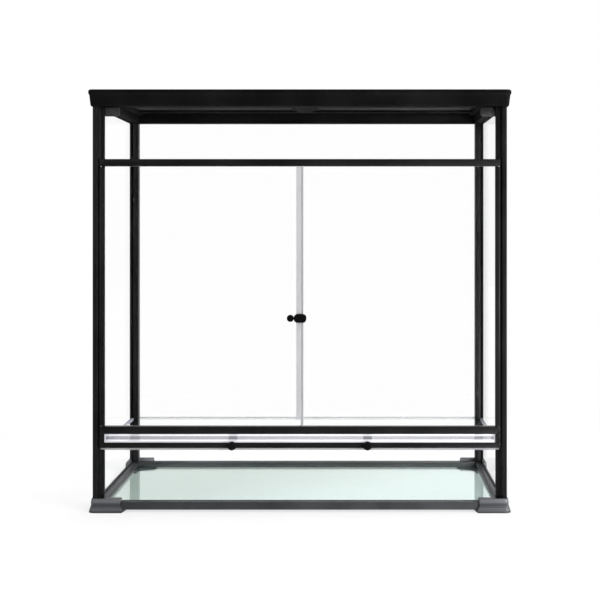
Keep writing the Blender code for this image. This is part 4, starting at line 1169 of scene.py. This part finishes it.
@dataclass
class Screws:
    """Crosshead screws that hold the top frame on the posts."""

    shop: Workshop
    radius: float = 0.0036
    height: float = 0.0012
    sunk: float = 0.0002
    slot_width: float = 0.0008
    facets: int = 28
    crown: float = 0.72
    slot_length: float = 1.1
    slot_lift: float = 0.55

    def build(self) -> None:
        """Set one screw over each post."""
        low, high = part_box("post_front_left")
        middle = (low + high) / 2
        sizes = {
            "Width": -2 * middle.x,
            "Depth": -2 * middle.y,
            "Level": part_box("top_frame")[1].z - self.sunk + self.height / 2,
            "Radius": self.radius,
            "Height": self.height,
            "Slot Width": self.slot_width,
        }
        mesh = self._tree(sizes).mesh("top_screws", sizes)
        self.shop.piece("top_screws", mesh, Finish.SCREW, "cabinet", "hinge_steel")

    def _tree(self, sizes: Mapping[str, Any]) -> GeometryGraph:
        """Write the tree of a crosshead screw on each corner of a rectangle.

        Args:
            sizes: The tree's inputs.

        Returns:
            The finished tree.
        """
        graph = GeometryGraph("crosshead_screws", sizes)
        width, depth, level, radius, height, slot = graph.sizes
        cone = {
            "Vertices": self.facets,
            "Radius Top": radius * self.crown,
            "Radius Bottom": radius,
            "Depth": height,
        }
        head = graph.out("GeometryNodeMeshCone", None, cone)
        shape = graph.moved(head, graph.vector(z=height * -0.5))
        length = radius * self.slot_length
        lift = graph.vector(z=height * self.slot_lift)
        for size in ((length, slot, height), (slot, length, height)):
            meshes = {"Mesh 1": shape, "Mesh 2": graph.moved(graph.block(*size), lift)}
            shape = graph.out("GeometryNodeMeshBoolean", {"operation": "DIFFERENCE"}, meshes)
        grid = {"Size X": width, "Size Y": depth, "Vertices X": 2, "Vertices Y": 2}
        corners = graph.out("GeometryNodeMeshGrid", None, grid)
        screws = graph.repeated(graph.moved(corners, graph.vector(z=level)), shape)
        return graph.close(screws, self.shop.materials[Finish.SCREW])


@dataclass
class Lids:
    """Two lid frames with woven wire mesh, pulls and hinge rods."""

    shop: Workshop
    frame_ease: float = 0.0004
    pull_ease: float = 0.0003
    pitch: float = 0.0032
    wire: float = 0.00036
    wire_sides: int = 4

    def build(self) -> None:
        """Dress the frames and weave the meshes."""
        eased = self.shop.eased
        sizes = {side: self._sizes(side) for side in Side}
        tree = self._tree(sizes[Side.LEFT])
        for side in Side:
            eased(Finish.MOULDED, "black_profile", self.frame_ease, "lid_frame_" + side.word)
            eased(Finish.MOULDED, "black_profile", self.pull_ease, "lid_pull_" + side.word)
            self.shop.dress(Finish.ROD_WIDE, "lid_hinge_rod_" + side.word)
            name = "lid_weave_" + side.word
            mesh = tree.mesh(name, sizes[side])
            body, node = "lid_" + side.word, "lid_mesh_" + side.word
            self.shop.piece(name, mesh, Finish.WIRE, body, "net_black", (node,))

    def _sizes(self, side: Side) -> dict[str, Any]:
        """Sizes of one lid's weave, which fills its frame between the rebates.

        Args:
            side: The lid's side.

        Returns:
            The sizes by name.
        """
        low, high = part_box("lid_mesh_" + side.word)
        width = high.x - low.x - 2 * self.wire
        depth = high.y - low.y - 2 * self.wire
        columns = round(width / self.pitch) + 1
        rows = round(depth / self.pitch) + 1
        return {
            "Columns": columns,
            "Rows": rows,
            "Pitch X": width / (columns - 1),
            "Pitch Y": depth / (rows - 1),
            "Wire Radius": self.wire,
            "Corner": (low.x + self.wire, low.y + self.wire, (low.z + high.z) / 2),
        }

    def _tree(self, sizes: Mapping[str, Any]) -> GeometryGraph:
        """Write the tree of a plain weave, whose wires pass over and under in turn.

        Args:
            sizes: The tree's inputs.

        Returns:
            The finished tree.
        """
        graph = GeometryGraph("woven_wire", sizes)
        columns, rows, pitch_x, pitch_y, radius, corner = graph.sizes
        circle = {"Resolution": self.wire_sides, "Radius": radius}
        section = graph.out("GeometryNodeCurvePrimitiveCircle", {"mode": "RADIUS"}, circle)
        x, y, _ = graph.split(graph.out("GeometryNodeInputPosition", None, {}))
        steps = (x / pitch_x).rounded() + (y / pitch_y).rounded()
        over = (steps * math.pi).cosine() * radius
        across = (columns, graph.vector(x=pitch_x))
        along = (rows, graph.vector(y=pitch_y))
        joined = graph.add("GeometryNodeJoinGeometry")
        for knots, wires, sign in ((across, along, 1.0), (along, across, -1.0)):
            laid = graph.repeated(graph.row(*wires), graph.row(*knots))
            real = graph.out("GeometryNodeRealizeInstances", None, {0: laid})
            crimp = {"Geometry": real, "Offset": graph.vector(z=over * sign)}
            crimped = graph.out("GeometryNodeSetPosition", None, crimp)
            curve = graph.out("GeometryNodeMeshToCurve", None, {"Mesh": crimped})
            tube = {"Curve": curve, "Profile Curve": section, "Fill Caps": True}
            graph.feed(joined.inputs[0], graph.out("GeometryNodeCurveToMesh", None, tube))
        woven = graph.moved(joined.outputs[0], corner)
        return graph.close(woven, self.shop.materials[Finish.WIRE])


@dataclass
class Studio:
    """Pale floor, soft lamps, white background and the camera."""

    camera_place: Point = (0.1068, -2.775, 0.6239)
    lens: float = 70.5
    sensor_width: float = 36.0
    shift: Pair = (-0.0816, -0.1253)
    far_limit: float = 100.0
    ambient: float = 0.55
    dark_side: float = 0.10
    floor_reach: float = 9.0
    floor_colour: Colour = (0.92, 0.92, 0.92)
    white: Colour = (1.0, 1.0, 1.0)

    def build(self) -> None:
        """Set up everything that isn't part of the object."""
        self._view()
        self._world()
        self._floor()
        self._lamp("key", (1.9, -2.3, 2.1), (0.1, -0.1, 0.45), (1.6, 1.6), 55.0)
        self._lamp("low_side", (1.7, -1.5, 0.25), (0.45, -0.2, 0.05), (0.7, 0.4), 46.0)
        self._lamp("fill", (-2.2, -2.0, 1.3), (-0.1, 0.0, 0.45), (1.8, 1.8), 26.0)
        self._lamp("top", (0.0, 0.4, 2.6), (0.0, 0.0, 0.9), (1.6, 1.0), 26.0)

    def _view(self) -> None:
        """Place the camera, level and shifted."""
        camera = bpy.data.objects.new("camera", bpy.data.cameras.new("camera"))
        camera.location = self.camera_place
        camera.rotation_euler = (math.radians(90.0), 0.0, 0.0)
        camera.data.lens = self.lens
        camera.data.sensor_width = self.sensor_width
        camera.data.shift_x, camera.data.shift_y = self.shift
        camera.data.clip_end = self.far_limit
        bpy.context.scene.collection.objects.link(camera)
        bpy.context.scene.camera = camera
        bpy.context.scene.view_settings.view_transform = "Standard"

    @staticmethod
    def _rays(graph: Graph) -> tuple[Value, Value]:
        """Tell apart the rays that meet the surroundings.

        Args:
            graph: The tree that takes the nodes.

        Returns:
            Two values of 0 or 1: the surroundings are seen, also through glass, and
            they are met by way of a reflection.
        """
        path = graph.add("ShaderNodeLightPath").outputs
        glossy = Value(graph, path["Glossy Depth"]).least(1.0)
        scattered = Value(graph, path["Diffuse Depth"]).least(1.0)
        through = Value(graph, path["Is Transmission Ray"]) * (1.0 - glossy) * (1.0 - scattered)
        return Value(graph, path["Is Camera Ray"]).most(through), glossy

    def _world(self) -> None:
        """Soft grey light all round, white where seen, dark behind the camera in reflections."""
        world = bpy.data.worlds.new("studio")
        world.use_nodes = True
        bpy.context.scene.world = world
        graph = Graph(world.node_tree)
        x, y, z = graph.split(graph.out("ShaderNodeTexCoord", None, {}, "Generated"))
        sweep = (x * 1.6 + z * 2.0).ramp(0.2, 0.55, 0.80, 1.06)
        mirrored = y.ramp(-0.25, 0.45, self.dark_side, 1.0) * sweep
        seen, glossy = self._rays(graph)
        strength = seen + glossy * mirrored + (1.0 - seen) * (1.0 - glossy) * self.ambient
        light = {"Color": self.white, "Strength": strength}
        background = graph.out("ShaderNodeBackground", None, light)
        graph.add("ShaderNodeOutputWorld", None, {"Surface": background})

    def _floor(self) -> None:
        """A pale floor that keeps the object's shadow and fades to white away from it."""
        reach = self.floor_reach
        corners = [(-reach, -reach), (reach, -reach), (reach, reach), (-reach, reach)]
        mesh = bpy.data.meshes.new("studio_floor")
        mesh.from_pydata([(x, y, 0.0) for x, y in corners], [], [(0, 1, 2, 3)])
        floor = bpy.data.objects.new("studio_floor", mesh)
        bpy.context.scene.collection.objects.link(floor)
        graph = MaterialGraph("pale_floor")
        length = {"operation": "LENGTH"}
        far = graph.value("ShaderNodeVectorMath", length, {0: graph.place}, "Value")
        mirrored = graph.split(graph.place)[1].ramp(-2.0, 0.6, self.dark_side, 1.0)
        seen, glossy = self._rays(graph)
        share = seen * far.ramp(0.5, 1.6, 0.66, 1.0) + glossy
        matt = graph.out("ShaderNodeBsdfDiffuse", None, {"Color": self.floor_colour})
        light = {"Color": self.white, "Strength": seen + glossy * mirrored}
        links = {0: share, 1: matt, 2: graph.out("ShaderNodeEmission", None, light)}
        mesh.materials.append(graph.close(graph.add("ShaderNodeMixShader", None, links)))

    @staticmethod
    def _lamp(name: str, place: Point, aim: Point, size: Pair, power: float) -> None:
        """Add one soft rectangular lamp.

        Args:
            name: The lamp's name.
            place: Where it stands.
            aim: The point it looks at.
            size: Its width and height.
            power: Its power in watts.
        """
        data = bpy.data.lights.new(name, "AREA")
        data.shape = "RECTANGLE"
        data.size, data.size_y = size
        data.energy = power
        lamp = bpy.data.objects.new(name, data)
        lamp.location = place
        lamp.rotation_euler = (Vector(aim) - Vector(place)).to_track_quat("-Z", "Y").to_euler()
        bpy.context.scene.collection.objects.link(lamp)


def main() -> None:
    """Load the frame, build every sub-assembly in order and set up the studio."""
    logging.basicConfig(level=logging.INFO, format="%(name)s: %(message)s")
    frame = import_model()
    shop = Workshop(frame["nodes"])
    for assembly in (
        Posts(shop),
        FrontBars(shop),
        VentStrip(shop),
        Glazing(shop),
        Doors(shop),
        VentKnobs(shop),
        Base(shop),
        TopFrame(shop),
        Screws(shop),
        Lids(shop),
        Studio(),
    ):
        LOG.info("building %s", type(assembly).__name__)
        assembly.build()


if __name__ == "__main__":
    main()
